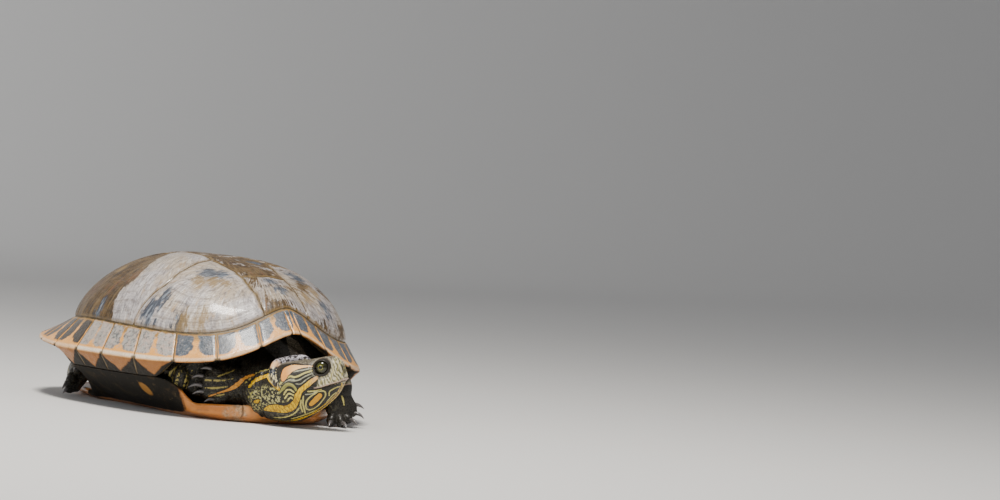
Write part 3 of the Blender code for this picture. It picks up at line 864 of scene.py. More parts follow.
# %% [markdown]
# ## Flesh before it is skinned
# Neck, limbs and tail are round-ended tubes through a few stations, each with a centre, a
# half width and a half height. They are melted together with the walls of skin that
# close the openings of the shell, so that one skin can run over all of them without a
# seam.

# %% Tubes
CAP = 0.12          # the share of a tube's rings that goes into each of its round ends


def path_through(points, at):
    """Places on a Catmull-Rom curve through the rows of points, for shares from 0 to 1."""
    p = np.array(points, float)
    last = len(p) - 1
    place = np.clip(at, 0, 1) * last
    i = np.minimum(place.astype(int), last - 1)
    t = (place - i)[..., None]
    a, b = p[np.maximum(i - 1, 0)], p[i]
    c, d = p[i + 1], p[np.minimum(i + 2, last)]
    return catmull_rom(a, b, c, d, t)


def tube(stations, segments=40, steps=40):
    """A round-ended tube as a grid. A station is x, y, z, half width and half height."""
    level = np.arange(steps + 1) / steps
    at = np.clip((level - CAP) / (1 - 2 * CAP), 0, 1)
    s = path_through(stations, at)
    ahead = unit((path_through(stations, at + 0.02) - path_through(stations, at - 0.02))[:, :3])
    side = unit(np.cross([0, 0, 1], ahead))
    lift = np.cross(ahead, side)
    bend = np.minimum(np.minimum(level, 1 - level), CAP) / CAP * math.pi / 2
    push = np.cos(bend) * np.where(level < 0.5, -1, 1) * s[:, 3:5].min(1) * 0.8
    turn = -2 * math.pi * np.arange(segments) / segments
    wide, high = (s[:, 3:5] * np.sin(bend)[:, None]).T[..., None, None]
    ring = (side[:, None] * np.cos(turn)[:, None] * wide
            + lift[:, None] * np.sin(turn)[:, None] * high)
    return s[:, None, :3] + ring + (ahead * push[:, None])[:, None]


def digit(root, end, start_radius=3.4, end_radius=2.7):
    middle = [(a + b) / 2 for a, b in zip(root, end)]
    thick = (start_radius + end_radius) / 2
    return ((*root, start_radius, start_radius), (*middle, thick, thick),
            (*end, end_radius, end_radius))


def mirrored_rows(rows):
    return tuple((-row[0], *row[1:]) for row in rows)


print("points of a tube:", tube(((0, 0, 0, 5, 5), (0, 9, 0, 4, 4))).shape)

# %% The frame of the head
HEAD_BASE = np.array([-5.8, -117.5, 21.5])
SNOUT_TIP = np.array([23.4, -151.3, 37.5])
HEAD_AHEAD = unit(SNOUT_TIP - HEAD_BASE)
HEAD_RIGHT = unit(np.array([HEAD_AHEAD[1], -HEAD_AHEAD[0], 0]))
HEAD_UP = np.cross(HEAD_RIGHT, HEAD_AHEAD)
# Distance along, top, bottom and half width.
HEAD_STATIONS = ((-9.0, 15.0, -16.0, 14.0), (0.0, 17.0, -19.5, 17.0), (8.0, 17.4, -21.4, 17.8),
                 (16.0, 16.6, -20.8, 17.0), (24.0, 15.2, -18.2, 15.0), (31.0, 14.6, -15.4, 12.6),
                 (38.0, 14.0, -11.6, 10.4), (43.0, 12.6, -6.6, 8.2), (46.2, 8.8, -2.6, 5.0))
HEAD_MIDDLE = -3.0         # the height at which the head is widest
CROWN_ROUNDNESS = 0.82     # 1 is an ellipse, and less is squarer
THROAT_ROUNDNESS = 0.95


def from_head(along, up, right):
    return (HEAD_BASE + np.asarray(along)[..., None] * HEAD_AHEAD
            + np.asarray(up)[..., None] * HEAD_UP + np.asarray(right)[..., None] * HEAD_RIGHT)


def to_head(points):
    p = points - HEAD_BASE
    return p @ HEAD_AHEAD, p @ HEAD_UP, p @ HEAD_RIGHT


print("the head points", np.degrees(np.arctan2(HEAD_AHEAD[0], -HEAD_AHEAD[1])).round(1),
      "degrees to its left")

# %% Stations of the limbs, the neck and the tail
FEET = {
    "front_right": {
        "tubes": (((-40, -64, 26, 12, 12), (-31, -82, 25, 12, 12), (-23, -96, 23, 10, 12)),
                  ((-21, -97, 22, 9, 11), (-27, -95, 22.5, 8, 11), (-33, -92.5, 22.4, 6.5, 10)),
                  ((-32, -93, 22.4, 6, 10), (-38, -89.5, 21.8, 5, 11), (-42, -87, 21.5, 3.5, 9))),
        "digits": (((-34, -92.0, 28.5), (-38.5, -90.0, 31.0)),
                   ((-36, -91.0, 25.5), (-42.5, -87.5, 26.3)),
                   ((-36, -91.0, 21.0), (-43.0, -87.5, 20.3)),
                   ((-35, -92.0, 17.0), (-41.0, -89.0, 16.2)),
                   ((-33, -94.0, 14.0), (-36.5, -92.5, 12.2))),
        "tips": ((-46.5, -85.5, 31.6), (-50.5, -82.5, 25.4), (-52.5, -82.0, 19.0),
                 (-50.0, -84.0, 15.0), (-44.5, -90.0, 10.6)),
    },
    "front_left": {
        "tubes": (((41, -64, 26, 12, 12), (49, -78, 28, 12, 12), (53, -90, 28, 10, 11)),
                  ((53, -90, 27, 10, 10), (51, -98, 25, 9, 9), (48, -104, 20, 8, 8)),
                  ((48, -103, 20, 9, 6), (47.5, -108, 14, 11, 5.5), (47, -111, 9.5, 11, 4))),
        "digits": (((51.5, -106.0, 16.0), (55.5, -109.0, 14.5)),
                   ((50.5, -108.0, 12.0), (54.0, -113.0, 9.3)),
                   ((48.5, -109.0, 9.5), (50.0, -115.5, 5.2)),
                   ((45.5, -109.5, 8.5), (44.5, -115.5, 2.6)),
                   ((42.5, -108.5, 9.0), (38.5, -112.5, 3.0))),
        "tips": ((62.5, -113.5, 12.5), (59.0, -120.0, 6.5), (52.0, -124.0, 2.2),
                 (43.5, -124.5, 0.5), (33.5, -118.5, 0.6)),
    },
    "hind_left": {
        "tubes": (((34, 66, 27, 13, 13), (46, 59, 25, 13, 13), (57, 52, 22, 10, 11)),
                  ((57, 54, 20, 8, 10), (55, 62, 16, 8, 9), (54, 67, 13, 7, 8)),
                  ((54, 66, 13, 7, 8), (58, 60, 12, 6, 9), (62, 55, 11, 4.5, 9))),
        "digits": (((60, 52, 16.5), (64.5, 47.0, 18.0)), ((62, 54, 13.0), (67.5, 50.0, 12.6)),
                   ((62, 56, 9.5), (67.5, 53.5, 7.6)), ((60, 58, 6.5), (64.5, 57.5, 3.9))),
        "tips": ((70.0, 41.5, 17.6), (73.5, 45.5, 10.6), (73.0, 50.5, 4.4), (69.0, 56.5, 1.0)),
    },
}
FEET["hind_right"] = {
    "tubes": tuple(mirrored_rows(rows) for rows in FEET["hind_left"]["tubes"]),
    "digits": tuple(mirrored_rows(rows) for rows in FEET["hind_left"]["digits"]),
    "tips": mirrored_rows(FEET["hind_left"]["tips"]),
}
NECK = ((-9.0, -112.0, 21.5, 16.5, 18.0), (-9.0, -106.5, 22.5, 17.0, 18.5),
        (-8.0, -97.0, 26.0, 17.0, 17.0), (-5.0, -84.0, 30.5, 17.0, 16.0),
        (-3.0, -60.0, 34.0, 16.5, 15.0))
TAIL = ((0, 78, 24, 12, 12), (2, 98, 19, 8, 8), (7, 110, 13, 5, 5), (16, 117, 8, 3, 3),
        (24, 118, 5.5, 1.4, 1.4))
CORE = ((0, -50, 24, 34, 13), (0, 0, 22, 30, 12), (0, 60, 24, 34, 13))
ARMPIT = ((-46, -62, 25, 8, 9), (-52, -70, 25, 8.5, 10), (-55.5, -76, 24.5, 5.5, 8))
# The rim of the neck's loose skin, in the frame of the head: along, up, right, thickness.
COLLAR = ((9, -6, 15.0, 0.6), (7.2, 0, 16.2, 1.0), (4.8, 5, 16.1, 1.7), (3.4, 11, 13.6, 2.4),
          (5.0, 17.4, 7.4, 2.5), (9, 18.6, 1.0, 2.3), (15, 18.2, -4.5, 2.4), (20.5, 16.6, -8.0, 2.1),
          (22, 11, -12.0, 2.0), (18, 3, -16.0, 1.8), (13, -6, -17.0, 1.2))
collar = np.array([(*from_head(*row[:3]), row[3], row[3]) for row in COLLAR])
flesh_tubes = [tube(NECK, 48, 40), tube(TAIL, 32, 48), tube(CORE, 32, 20), tube(ARMPIT)]
flesh_tubes.append(tube(collar, 20, 90))
for foot in FEET.values():
    flesh_tubes += [tube(stations) for stations in foot["tubes"]]
    flesh_tubes += [tube(digit(*ends), 24, 18) for ends in foot["digits"]]
print("tubes of flesh:", len(flesh_tubes))

# %% [markdown]
# ## Walls of skin
# Between the two shells the openings are closed by skin. Its form is the solid's trunk;
# only its two ends are ever seen, so the middle is cut away and the ends are closed.

# %% Ends of the trunk
FRONT_CUT, REAR_CUT = -46, 52
SKIN_VOXEL = 0.94           # the grain of the melted skin


def trunk_end(sign, cut):
    """The end of the trunk on that side of a cut across the body, closed."""
    bm = bmesh.new()
    bm.from_mesh(frame["nodes"]["trunk"].data)
    bmesh.ops.remove_doubles(bm, verts=bm.verts[:], dist=1e-6)
    made = bmesh.ops.bisect_plane(
        bm, geom=bm.verts[:] + bm.edges[:] + bm.faces[:], dist=1e-6,
        plane_co=(0, cut * MM, 0), plane_no=(0, sign, 0), clear_inner=True)
    edges = [e for e in made["geom_cut"] if isinstance(e, bmesh.types.BMEdge)]
    bmesh.ops.edgenet_fill(bm, edges=edges)
    bmesh.ops.recalc_face_normals(bm, faces=bm.faces[:])
    return mesh_from(bm, "trunk_end")


def with_modifiers(mesh, *modifiers, group=()):
    """The mesh after these modifiers: each is a type and its settings. group: vertex numbers."""
    obj = add_object("worked", mesh)
    if len(group):
        obj.vertex_groups.new(name="group").add([int(i) for i in group], 1.0, "REPLACE")
    for kind, settings in modifiers:
        modifier = obj.modifiers.new(kind.lower(), kind)
        for key, value in settings.items():
            setattr(modifier, key, value)
    graph = bpy.context.evaluated_depsgraph_get()
    made = bpy.data.meshes.new_from_object(obj.evaluated_get(graph))
    bpy.data.objects.remove(obj)
    return made


flesh = bmesh.new()
for grid in flesh_tubes:
    flesh.from_mesh(mesh_from_grids("tube", [grid]))
for sign, cut in ((-1, FRONT_CUT), (1, REAR_CUT)):
    flesh.from_mesh(trunk_end(sign, cut))
body_mesh = with_modifiers(
    mesh_from(flesh, "flesh"),
    ("REMESH", {"mode": "VOXEL", "voxel_size": SKIN_VOXEL * MM}),
    ("SMOOTH", {"factor": 0.5, "iterations": 4}))
print("skin of the body:", len(body_mesh.vertices), "points")

# %% [markdown]
# ## The head
# The head tapers from a broad rear to a blunt snout. It is measured in its own frame: how
# far along from the back of the head, how far up, and how far to the right. Its rings
# stand close together, because the lids, the mouth and the ear are all pressed into them
# later.

# %% Rings of the head
def head_grid(segments, steps):
    """Rings from the snout back into the neck."""
    level = np.arange(steps + 1) / steps
    at = 1 - np.clip((level - 0.02) / 0.96, 0, 1)
    s = path_through(HEAD_STATIONS, at)
    turn = -2 * math.pi * np.arange(segments) / segments
    c, sn = np.cos(turn), -np.sin(turn)
    power = np.where(sn > 0, CROWN_ROUNDNESS, THROAT_ROUNDNESS)
    right = s[:, 3:4] * np.sign(c) * np.abs(c) ** power
    reach = np.where(sn > 0, s[:, 1:2] - HEAD_MIDDLE, HEAD_MIDDLE - s[:, 2:3])
    up = HEAD_MIDDLE + reach * np.sign(sn) * np.abs(sn) ** power
    grid = from_head(np.broadcast_to(s[:, :1], up.shape), up, right)
    grid[0] = from_head(47.5, 3.6, 0)
    grid[-1] = from_head(-9.0, HEAD_MIDDLE, 0)
    return grid


def head_section(along):
    """Top, bottom and half width of the head at these places along it."""
    s = path_through(HEAD_STATIONS, np.linspace(0, 1, 300))
    return (np.interp(along, s[:, 0], s[:, i]) for i in (1, 2, 3))


def on_head(along, up, side=1):
    """The place on the head's surface with this height, on its right side or its left."""
    along, up = np.asarray(along, float), np.asarray(up, float)
    top, bottom, half = head_section(along)
    above = up > HEAD_MIDDLE
    power = np.where(above, CROWN_ROUNDNESS, THROAT_ROUNDNESS)
    reach = np.where(above, top - HEAD_MIDDLE, HEAD_MIDDLE - bottom)
    sine = np.clip(np.abs(up - HEAD_MIDDLE) / reach, 0, 0.999) ** (1 / power)
    return from_head(along, up, side * half * (1 - sine ** 2) ** (power / 2))


head_mesh = mesh_from_grids("head_skin", [head_grid(240, 160)], recalculate=True)
print("skin of the head:", len(head_mesh.vertices), "points")

# %% [markdown]
# ## Lids, mouth, ear and nostrils
# The eye is a ball, so its lids are a slightly larger ball with an almond cut out of it:
# the skin is pushed out until it wraps the eye, and inside the almond it drops behind it.
# The mouth is a groove whose lower side is set back, because the lower beak closes inside
# the upper one. The ear is a round drum skin, flush with the cheek, with a faint rim.

# %% Where the features are
def place_points(mesh, points):
    mesh.vertices.foreach_set("co", (points * MM).astype(np.float32).ravel())
    mesh.update()


def eye_place():
    """The right eye in the head's frame, and its radius."""
    low, high = (np.array(corner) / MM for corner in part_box("eye_right"))
    return to_head((low + high) / 2), (high - low).min() / 2


(EYE_ALONG, EYE_UP, EYE_OUT), EYE_RADIUS = eye_place()
EYE_SLIT = 4.75            # half its length
LID = 0.75                 # the thickness of a lid
LID_BLEND = 0.45
EAR = (12.5, -2.7)
EAR_RADIUS = 4.5
MOUTH_CORNER = 28.6
NOSTRIL = (46.9, 5.4, 1.5)


def mouth_line(along):
    return -4.7 + 1.3 * smoothstep(42.5, 46.5, along) + 0.25 * np.sin(along / 2.9)


def nostril_distance(along, up, out):
    return np.linalg.norm(np.stack([along, up, out]) - np.reshape(NOSTRIL, (3, 1)), axis=0)


print("eye along, up, out:", round(EYE_ALONG, 1), round(EYE_UP, 1), round(EYE_OUT, 1))


# %% Pressing the features into the head
def wrap_eye(points):
    """Lids: the skin follows a ball round the eye, and an almond is left open."""
    along, up, right = to_head(points)
    side, out = np.sign(right), np.abs(right)
    ahead, above = along - EYE_ALONG, up - EYE_UP
    r = np.hypot(ahead, above)
    ball = EYE_OUT + np.sqrt(np.maximum(EYE_RADIUS ** 2 - r ** 2, 0))
    lid = EYE_OUT + np.sqrt(np.maximum((EYE_RADIUS + LID) ** 2 - r ** 2, 0))
    lid = np.where(r < EYE_RADIUS + LID, lid, -20)
    new = np.maximum(out, lid) + LID_BLEND * np.log1p(np.exp(-np.abs(out - lid) / LID_BLEND))
    new += 0.25 * hill(r - 5.0, 0.45) - 0.45 * hill(r - 6.9, 0.6)
    slit_height = 4.3 - 0.035 * ahead ** 2 * (above > 0)
    almond = np.hypot(ahead / EYE_SLIT, (above - 0.06 * ahead) / slit_height)
    new = mix(new, ball - 0.9, 1 - smoothstep(0.92, 1.02, almond))
    near = (r < 9) & (out > 2.5)
    return from_head(along, up, side * np.where(near, new, out))


def mouth_push(along, up):
    """A groove, a lower jaw that is set back, and a slight swelling of the upper lip."""
    gap = up - mouth_line(along)
    push = -0.85 * hill(gap, 0.33)
    push -= 0.55 * smoothstep(0.1, -0.5, gap) * np.exp(np.minimum(gap, 0) / 3.0)
    push += 0.30 * hill(gap - 0.9, 0.7) * smoothstep(43.0, 38.0, along)
    push *= smoothstep(MOUTH_CORNER - 1.5, MOUTH_CORNER + 1.0, along)
    return push - 0.5 * hill(np.hypot(along - MOUTH_CORNER + 0.8, (up + 5.6) * 0.7), 1.1)


def press_features(mesh):
    points = wrap_eye(points_of(mesh))
    place_points(mesh, points)
    along, up, right = to_head(points)
    out = np.abs(right)
    push = mouth_push(along, up)
    ear = np.hypot(along - EAR[0], (up - EAR[1]) * 0.92)
    push += 0.30 * hill(ear - EAR_RADIUS, 0.55) - 0.35 * (1 - smoothstep(3.0, 4.2, ear))
    push += 0.55 * hill(np.hypot((along - 20) / 9, (up + 10) / 6), 1.0)          # the jaw muscle
    push -= 0.55 * hill(np.hypot((along - 35) / 6, (up - 0.8) / 2.2), 1.0)       # under the eye
    push -= 0.35 * hill(out - 3.4, 1.5) * (up > 8) * smoothstep(36, 42, along)   # beside the nose
    push -= 1.1 * hill(nostril_distance(along, up, out), 0.75)
    points += vectors(mesh.vertex_normals, "vector") * push[:, None]
    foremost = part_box("head")[0][1] / MM + 0.05
    points[:, 1] = np.maximum(points[:, 1], foremost)
    place_points(mesh, points)


press_features(head_mesh)
print("snout:", points_of(head_mesh).min(0)[1].round(1), "mm from the middle")

# %% [markdown]
# ## One skin over everything
# The head is joined to the rest with a union, which leaves a crease where the head slides
# out of the loose skin of the neck, as on the animal. Far inside the shell nobody sees
# the skin, so there it is thinned.

# %% Folds and ridges
FOOT_FOLDS = np.array([-46.0, -79.0, 22.0])     # the folds run round this place
FOLD_SPACING = 3.4


def toe_ridges(points, normals):
    """How far the skin rises over the bones of the toes."""
    push = np.zeros(len(points))
    for foot in FEET.values():
        for root, end in foot["digits"]:
            a, b = np.array(root, float), np.array(end, float)
            a = a - (b - a) * 0.9
            t = np.clip((points - a) @ (b - a) / ((b - a) @ (b - a)), 0, 1.1)
            away = points - (a + (b - a) * t[:, None])
            flat = away - (away * normals).sum(1)[:, None] * normals
            close = np.linalg.norm(away, axis=1) < 7
            push += 0.7 * hill(np.linalg.norm(flat, axis=1), 1.3) * close * smoothstep(0, 0.3, t)
    return push


def fold_body(mesh):
    """Wrinkles of the loose skin by the folded foreleg and of the neck, and the toes' ridges."""
    points = points_of(mesh)
    normals = vectors(mesh.vertex_normals, "vector")
    x, y, z = points.T
    away = np.linalg.norm((points - FOOT_FOLDS) * (1, 1, 0.8), axis=1)
    band = smoothstep(7, 10, away) * (1 - smoothstep(20, 26, away)) * smoothstep(-44, -50, x)
    band *= smoothstep(-55, -62, y)
    push = 0.55 * np.cos(away * 2 * math.pi / FOLD_SPACING) * band
    along, up, right = to_head(points)
    neck = smoothstep(1.5, -3, along) * smoothstep(-34, -26, along) * (np.hypot(right, up) < 26)
    push += 0.32 * np.sin(along * 2.1 + 0.9 * np.sin(up / 4.0)) * neck
    push += toe_ridges(points, normals)
    place_points(mesh, points + normals * push[:, None])


fold_body(body_mesh)
print("folds every", FOLD_SPACING, "mm")


# %% Thinning and the union
def thinned(mesh, ratio):
    """The mesh with fewer faces where it is far inside the shell."""
    x, y, z = points_of(mesh).T
    hidden = (np.hypot(x / 58, (y - 4) / 72) < 1) | (z > 66)
    return with_modifiers(mesh, ("DECIMATE", {"ratio": ratio, "vertex_group": "group"}),
                          group=np.nonzero(hidden)[0])


def joined_skin(head, body):
    """The union of the head and the rest, as one closed mesh."""
    other = add_object("head_part", head)
    made = with_modifiers(body, ("BOOLEAN", {"operation": "UNION", "solver": "MANIFOLD",
                                             "object": other}))
    bpy.data.objects.remove(other)
    made.name = "skin"
    return made


skin_mesh = joined_skin(head_mesh, thinned(body_mesh, 0.42))
print("skin:", len(skin_mesh.vertices), "points")

# %% [markdown]
# ## Stripes drawn on the skin
# The stripes follow the form of the head, so they can't come from a flat picture. Each
# one is a line of points on the surface with a half width at each point. For every point
# of the skin the distance to the nearest edge of a stripe is stored, in millimetres and
# negative inside, and the material turns that into paint. The head's lines are given
# along and up in its own frame and are drawn on both sides.

# %% Lines of the head: along, up, half width
WEDGE = (((31.2, 9.3, 0.15), (27.5, 10.4, 0.6), (22.0, 11.4, 1.3), (17.6, 12.0, 2.6),
          (14.2, 11.4, 3.1), (12.5, 9.7, 2.7), (11.2, 7.6, 2.0), (10.4, 6.0, 1.2)),)
BRIGHT = (
    ((31.0, 2.0, 1.0), (28.2, 0.7, 1.4), (25.3, -0.8, 1.5), (22.0, -2.3, 1.5),
     (19.2, -4.0, 1.6), (17.2, -6.8, 1.7), (15.0, -9.6, 1.9), (12.0, -11.8, 2.3),
     (8.5, -12.7, 2.5), (5.0, -12.2, 2.6), (1.0, -10.6, 2.7), (-3.5, -9.6, 2.2),
     (-7, -9.4, 1.0)),
    ((0.0, 11.6, 1.2), (1.6, 9.0, 1.7), (3.6, 6.0, 1.8), (5.2, 3.2, 1.5), (6.4, 0.6, 0.8)),
    ((-15, 7.4, 0.8), (-10.5, 9.2, 1.1), (-6, 10.6, 1.3), (-2, 11.2, 1.3), (0.3, 11.2, 1.2)),
    ((47, -5.6, 0.3), (43.5, -10.0, 0.8), (38.5, -12.9, 0.9), (32, -15.8, 1.0),
     (25, -18.0, 1.0), (16, -19.9, 0.9), (6, -20.3, 0.8)),
    ((-13.5, -3.2, 0.6), (-12.0, -3.6, 1.4), (-10.0, -3.2, 0.9)),
)
OLIVE = (
    ((6.4, -1.4, 0.7), (9.2, 0.5, 1.0), (11.9, 2.1, 1.1), (14.2, 1.9, 1.0), (16.2, 0.2, 0.8),
     (17.4, -2.8, 0.7)),
    ((-24, -1.5, 0.6), (-18, 1.0, 0.8), (-13, 3.4, 0.7)),
)
FINE = (
    ((7.4, 3.6, 0.45), (11.3, 5.8, 0.5), (14.9, 7.0, 0.55), (17.6, 5.8, 0.45), (20.3, 5.8, 0.5),
     (24.9, 6.8, 0.45), (30.0, 7.2, 0.4)),
    ((8.8, -3.4, 0.3), (11.2, -1.1, 0.35), (13.6, -1.3, 0.35), (15.4, -3.4, 0.3)),
    ((9.0, -5.8, 0.35), (11.8, -3.6, 0.4), (14.4, -4.9, 0.35), (15.2, -6.6, 0.3)),
    ((10.2, -7.9, 0.3), (12.6, -6.2, 0.35), (14.0, -7.6, 0.3)),
    ((19.6, -13.6, 0.3), (21.4, -10.6, 0.35), (24.5, -8.6, 0.35), (28.2, -7.4, 0.35),
     (32.0, -7.0, 0.35), (33.7, -8.4, 0.35), (32.6, -10.8, 0.35), (29.3, -13.2, 0.35),
     (25.5, -15.4, 0.35), (21.4, -16.5, 0.35), (19.4, -15.6, 0.3), (19.6, -13.6, 0.3)),
    ((46.0, -6.4, 0.25), (41.5, -9.0, 0.4), (37.0, -10.9, 0.4), (33.5, -13.0, 0.35),
     (28.0, -16.0, 0.4), (21.0, -18.0, 0.4), (14.6, -18.9, 0.35), (7, -19.2, 0.3)),
    ((44.5, -6.2, 0.25), (39.5, -7.4, 0.35), (36.2, -8.6, 0.35), (34.9, -10.8, 0.3)),
    ((18.4, -9.2, 0.3), (16.9, -12.6, 0.4), (16.2, -16.6, 0.3)),
    ((20.6, -7.4, 0.25), (18.9, -11.2, 0.35), (18.0, -15.0, 0.35), (17.0, -18.0, 0.3)),
    ((15.4, -13.8, 0.3), (11.0, -16.4, 0.4), (4.0, -17.2, 0.4), (-4, -15.6, 0.3)),
    ((24.0, -5.2, 0.25), (27.5, -5.9, 0.3), (32.0, -5.9, 0.25)),
    ((-20, 10.5, 0.5), (-12, 12.0, 0.6), (-5, 14.0, 0.5), (0, 15.2, 0.4)),
    ((-20, 5.6, 0.3), (-12, 7.5, 0.4), (-5, 10.0, 0.35)),
)
GRAY = (
    ((8.4, 6.9, 0.3), (11.6, 8.5, 0.35), (15.2, 9.6, 0.35), (20.5, 9.1, 0.35), (29.6, 8.6, 0.3)),
    ((13.5, 4.6, 0.2), (16.5, 3.8, 0.3), (20.0, 3.2, 0.3), (24.5, 4.6, 0.3), (30.0, 5.6, 0.25)),
    ((10.8, 3.9, 0.2), (14.4, 5.0, 0.25), (17.2, 4.6, 0.2)),
    ((17.8, 1.4, 0.2), (21.0, 0.6, 0.3), (25.0, 2.6, 0.25), (29.0, 3.8, 0.2)),
    ((40.0, 17.0, 0.2), (30.0, 14.6, 0.3), (20.0, 16.2, 0.3), (10.0, 17.2, 0.2)),
    ((22.0, -6.6, 0.25), (25.5, -7.2, 0.3), (29.5, -6.6, 0.25)),
)
OVAL = (((23.3, -13.1, 1.55), (26.6, -11.4, 1.9), (29.8, -9.6, 1.6)),)
CHIN = ((46, 2.2, 0.5), (40, 3.2, 0.6), (30, 4.4, 0.7), (18, 5.0, 0.7), (4, 5.4, 0.6),
        (-6, 5.0, 0.5))       # under the head: along, out, half width
print("lines on the head:", sum(map(len, (WEDGE, BRIGHT, OLIVE, FINE, GRAY, OVAL))))


# %% From lines to distances
def drawn(line, steps=3):
    """The line with its curve filled in, by this many steps between two points."""
    return path_through(line, np.linspace(0, 1, (len(line) - 1) * steps + 1))


def head_lines(lines):
    made = []
    for line in lines:
        rows = drawn(line)
        for side in (1, -1):
            made.append(np.column_stack([on_head(rows[:, 0], rows[:, 1], side), rows[:, 2]]))
    return made


def under_lines(line):
    """A line under the head, given by its distance from the middle, on both sides."""
    rows = drawn(line)
    top, bottom, half = head_section(rows[:, 0])
    made = []
    for side in (1, -1):
        share = np.clip(rows[:, 1] / half, 0, 0.99) ** (1 / THROAT_ROUNDNESS)
        up = HEAD_MIDDLE - (HEAD_MIDDLE - bottom) * (1 - share ** 2) ** (THROAT_ROUNDNESS / 2)
        made.append(np.column_stack([from_head(rows[:, 0], up, side * rows[:, 1]), rows[:, 2]]))
    return made


def stripe_distance(points, normals, lines, reach=6.0):
    """Millimetres to the edge of the nearest stripe, measured along the skin."""
    best = np.full(len(points), reach)
    for line in lines:
        low, high = line[:, :3].min(0) - reach - 3, line[:, :3].max(0) + reach + 3
        near = np.nonzero(((points > low) & (points < high)).all(1))[0]
        p, n = points[near], normals[near]
        found = best[near]
        for a, b in zip(line[:-1], line[1:]):
            run = b[:3] - a[:3]
            t = np.clip((p - a[:3]) @ run / max(run @ run, 1e-9), 0, 1)
            gap = p - a[:3] - run * t[:, None]
            deep = (gap * n).sum(1)
            flat = np.linalg.norm(gap - deep[:, None] * n, axis=1) - mix(a[3], b[3], t)
            found = np.where(np.abs(deep) < 5, np.minimum(found, flat), found)
        best[near] = found
    return best


print("lines on the head:", sum(len(g) for g in (WEDGE, BRIGHT, OLIVE, FINE, GRAY, OVAL)))

# %% Lines of the limbs and the tail: x, y, z, half width
ARM_ORANGE = ((-22.4, -113.0, 31.0, 0.9), (-24.6, -105.0, 27.4, 1.3), (-28.0, -103.2, 24.0, 1.4),
              (-31.6, -100.8, 20.8, 1.0), (-35.4, -97.6, 18.6, 0.55), (-38.6, -94.4, 16.6, 0.45),
              (-41.5, -91.3, 15.0, 0.35))
LIMB_LINES = (
    ((-28, -98, 32.5, 0.4), (-33.5, -96.8, 30.2, 0.5), (-38.0, -94.5, 27.8, 0.4)),
    ((-30, -100, 27.0, 0.3), (-35.0, -97.5, 25.6, 0.4), (-39.5, -94.2, 25.3, 0.5), (-44, -89.4, 24.8, 0.4)),
    ((-33, -99, 22.0, 0.3), (-39.6, -94.4, 20.4, 0.5), (-44, -90.0, 19.8, 0.4)),
    ((-34, -98, 17.0, 0.3), (-37.3, -95.0, 15.9, 0.5), (-41.8, -91.2, 15.4, 0.4)),
    ((-57, -75.6, 32.5, 0.3), (-61, -73.5, 27.5, 0.5), (-62, -74, 22, 0.5), (-60, -74, 17, 0.4)),
    ((-54, -76, 32, 0.3), (-57, -75, 28, 0.4), (-57.6, -75.4, 22, 0.6), (-55, -74, 16, 0.4)),
    ((-51, -77, 31, 0.3), (-53.4, -76, 27, 0.35), (-54, -75.5, 22, 0.35), (-51.5, -73, 15.5, 0.4)),
    ((-48, -78, 30, 0.3), (-50.2, -77, 26, 0.4), (-50.6, -76.5, 21, 0.4), (-48, -72, 15, 0.3)),
    ((58, -86, 36.0, 0.5), (60, -94, 32.0, 0.7), (57, -101, 24.0, 0.7), (53, -106, 18.0, 0.5)),
    ((50, -88, 39.0, 0.4), (50, -98, 33.0, 0.6), (47, -106, 23.0, 0.6), (47, -112, 14.0, 0.4)),
    ((43, -92, 33.0, 0.4), (42, -101, 26.0, 0.5), (41, -108, 17.0, 0.5)),
)
HIND_LINES = (
    ((50, 62, 30, 0.5), (58, 60, 24, 0.7), (60, 63, 17, 0.6), (62, 58, 12, 0.4)),
    ((44, 70, 30, 0.5), (52, 73, 22, 0.8), (56, 74, 14, 0.6)),
    ((36, 80, 30, 0.6), (40, 84, 24, 0.9), (44, 86, 17, 0.6)),
    ((24, 90, 30, 0.6), (26, 92, 24, 0.9), (27, 92, 18, 0.6)),
)
TAIL_LINES = (
    ((4, 90, 31, 0.7), (4, 99, 26.5, 0.8), (8.5, 110, 17.6, 0.6), (17, 116, 10.6, 0.4)),
    ((-8, 92, 22, 0.6), (-6, 101, 18, 0.6), (3, 112, 12.0, 0.5), (14, 119.5, 8.0, 0.3)),
    ((12, 92, 22, 0.6), (11, 101, 17, 0.6), (13, 110, 11.5, 0.5), (20, 115.5, 6.8, 0.3)),
)


BODY_LINES = (*LIMB_LINES, *HIND_LINES, *(mirrored_rows(rows) for rows in HIND_LINES), *TAIL_LINES)
print("lines on the limbs and the tail:", len(BODY_LINES))


# %% Values stored on the skin
# Lines along the head that bound its crown and its beak: where, and how high or how far.
CROWN_EDGE = ((2, 15.4), (10, 15.6), (17, 15.0), (24.6, 12.2), (30, 10.6), (33, 12.4),
              (37, 12.0), (41, 8.5), (47, 6.5))
BEAK_EDGE = ((-4.6, 29.5), (-2, 30.5), (1.5, 32.0), (3.0, 36.0), (6.0, 40.0), (10.0, 41.0),
             (12.5, 42.0))


def mark_stripes(mesh, points, normals):
    lines = {
        "bright": head_lines(BRIGHT) + under_lines(CHIN),
        "wedge": head_lines(WEDGE) + [drawn(ARM_ORANGE)],
        "olive": head_lines(OLIVE),
        "fine": head_lines(FINE) + [drawn(line) for line in BODY_LINES],
        "gray": head_lines(GRAY),
        "oval": head_lines(OVAL),
    }
    for key, group in lines.items():
        put_value(mesh, key, stripe_distance(points, normals, group))
    rim = collar.copy()
    rim[:, 3] = np.maximum(collar[:, 3] + 0.3, 1.0)
    put_value(mesh, "collar", stripe_distance(points, normals, [drawn(rim[:, :4])], 8.0))


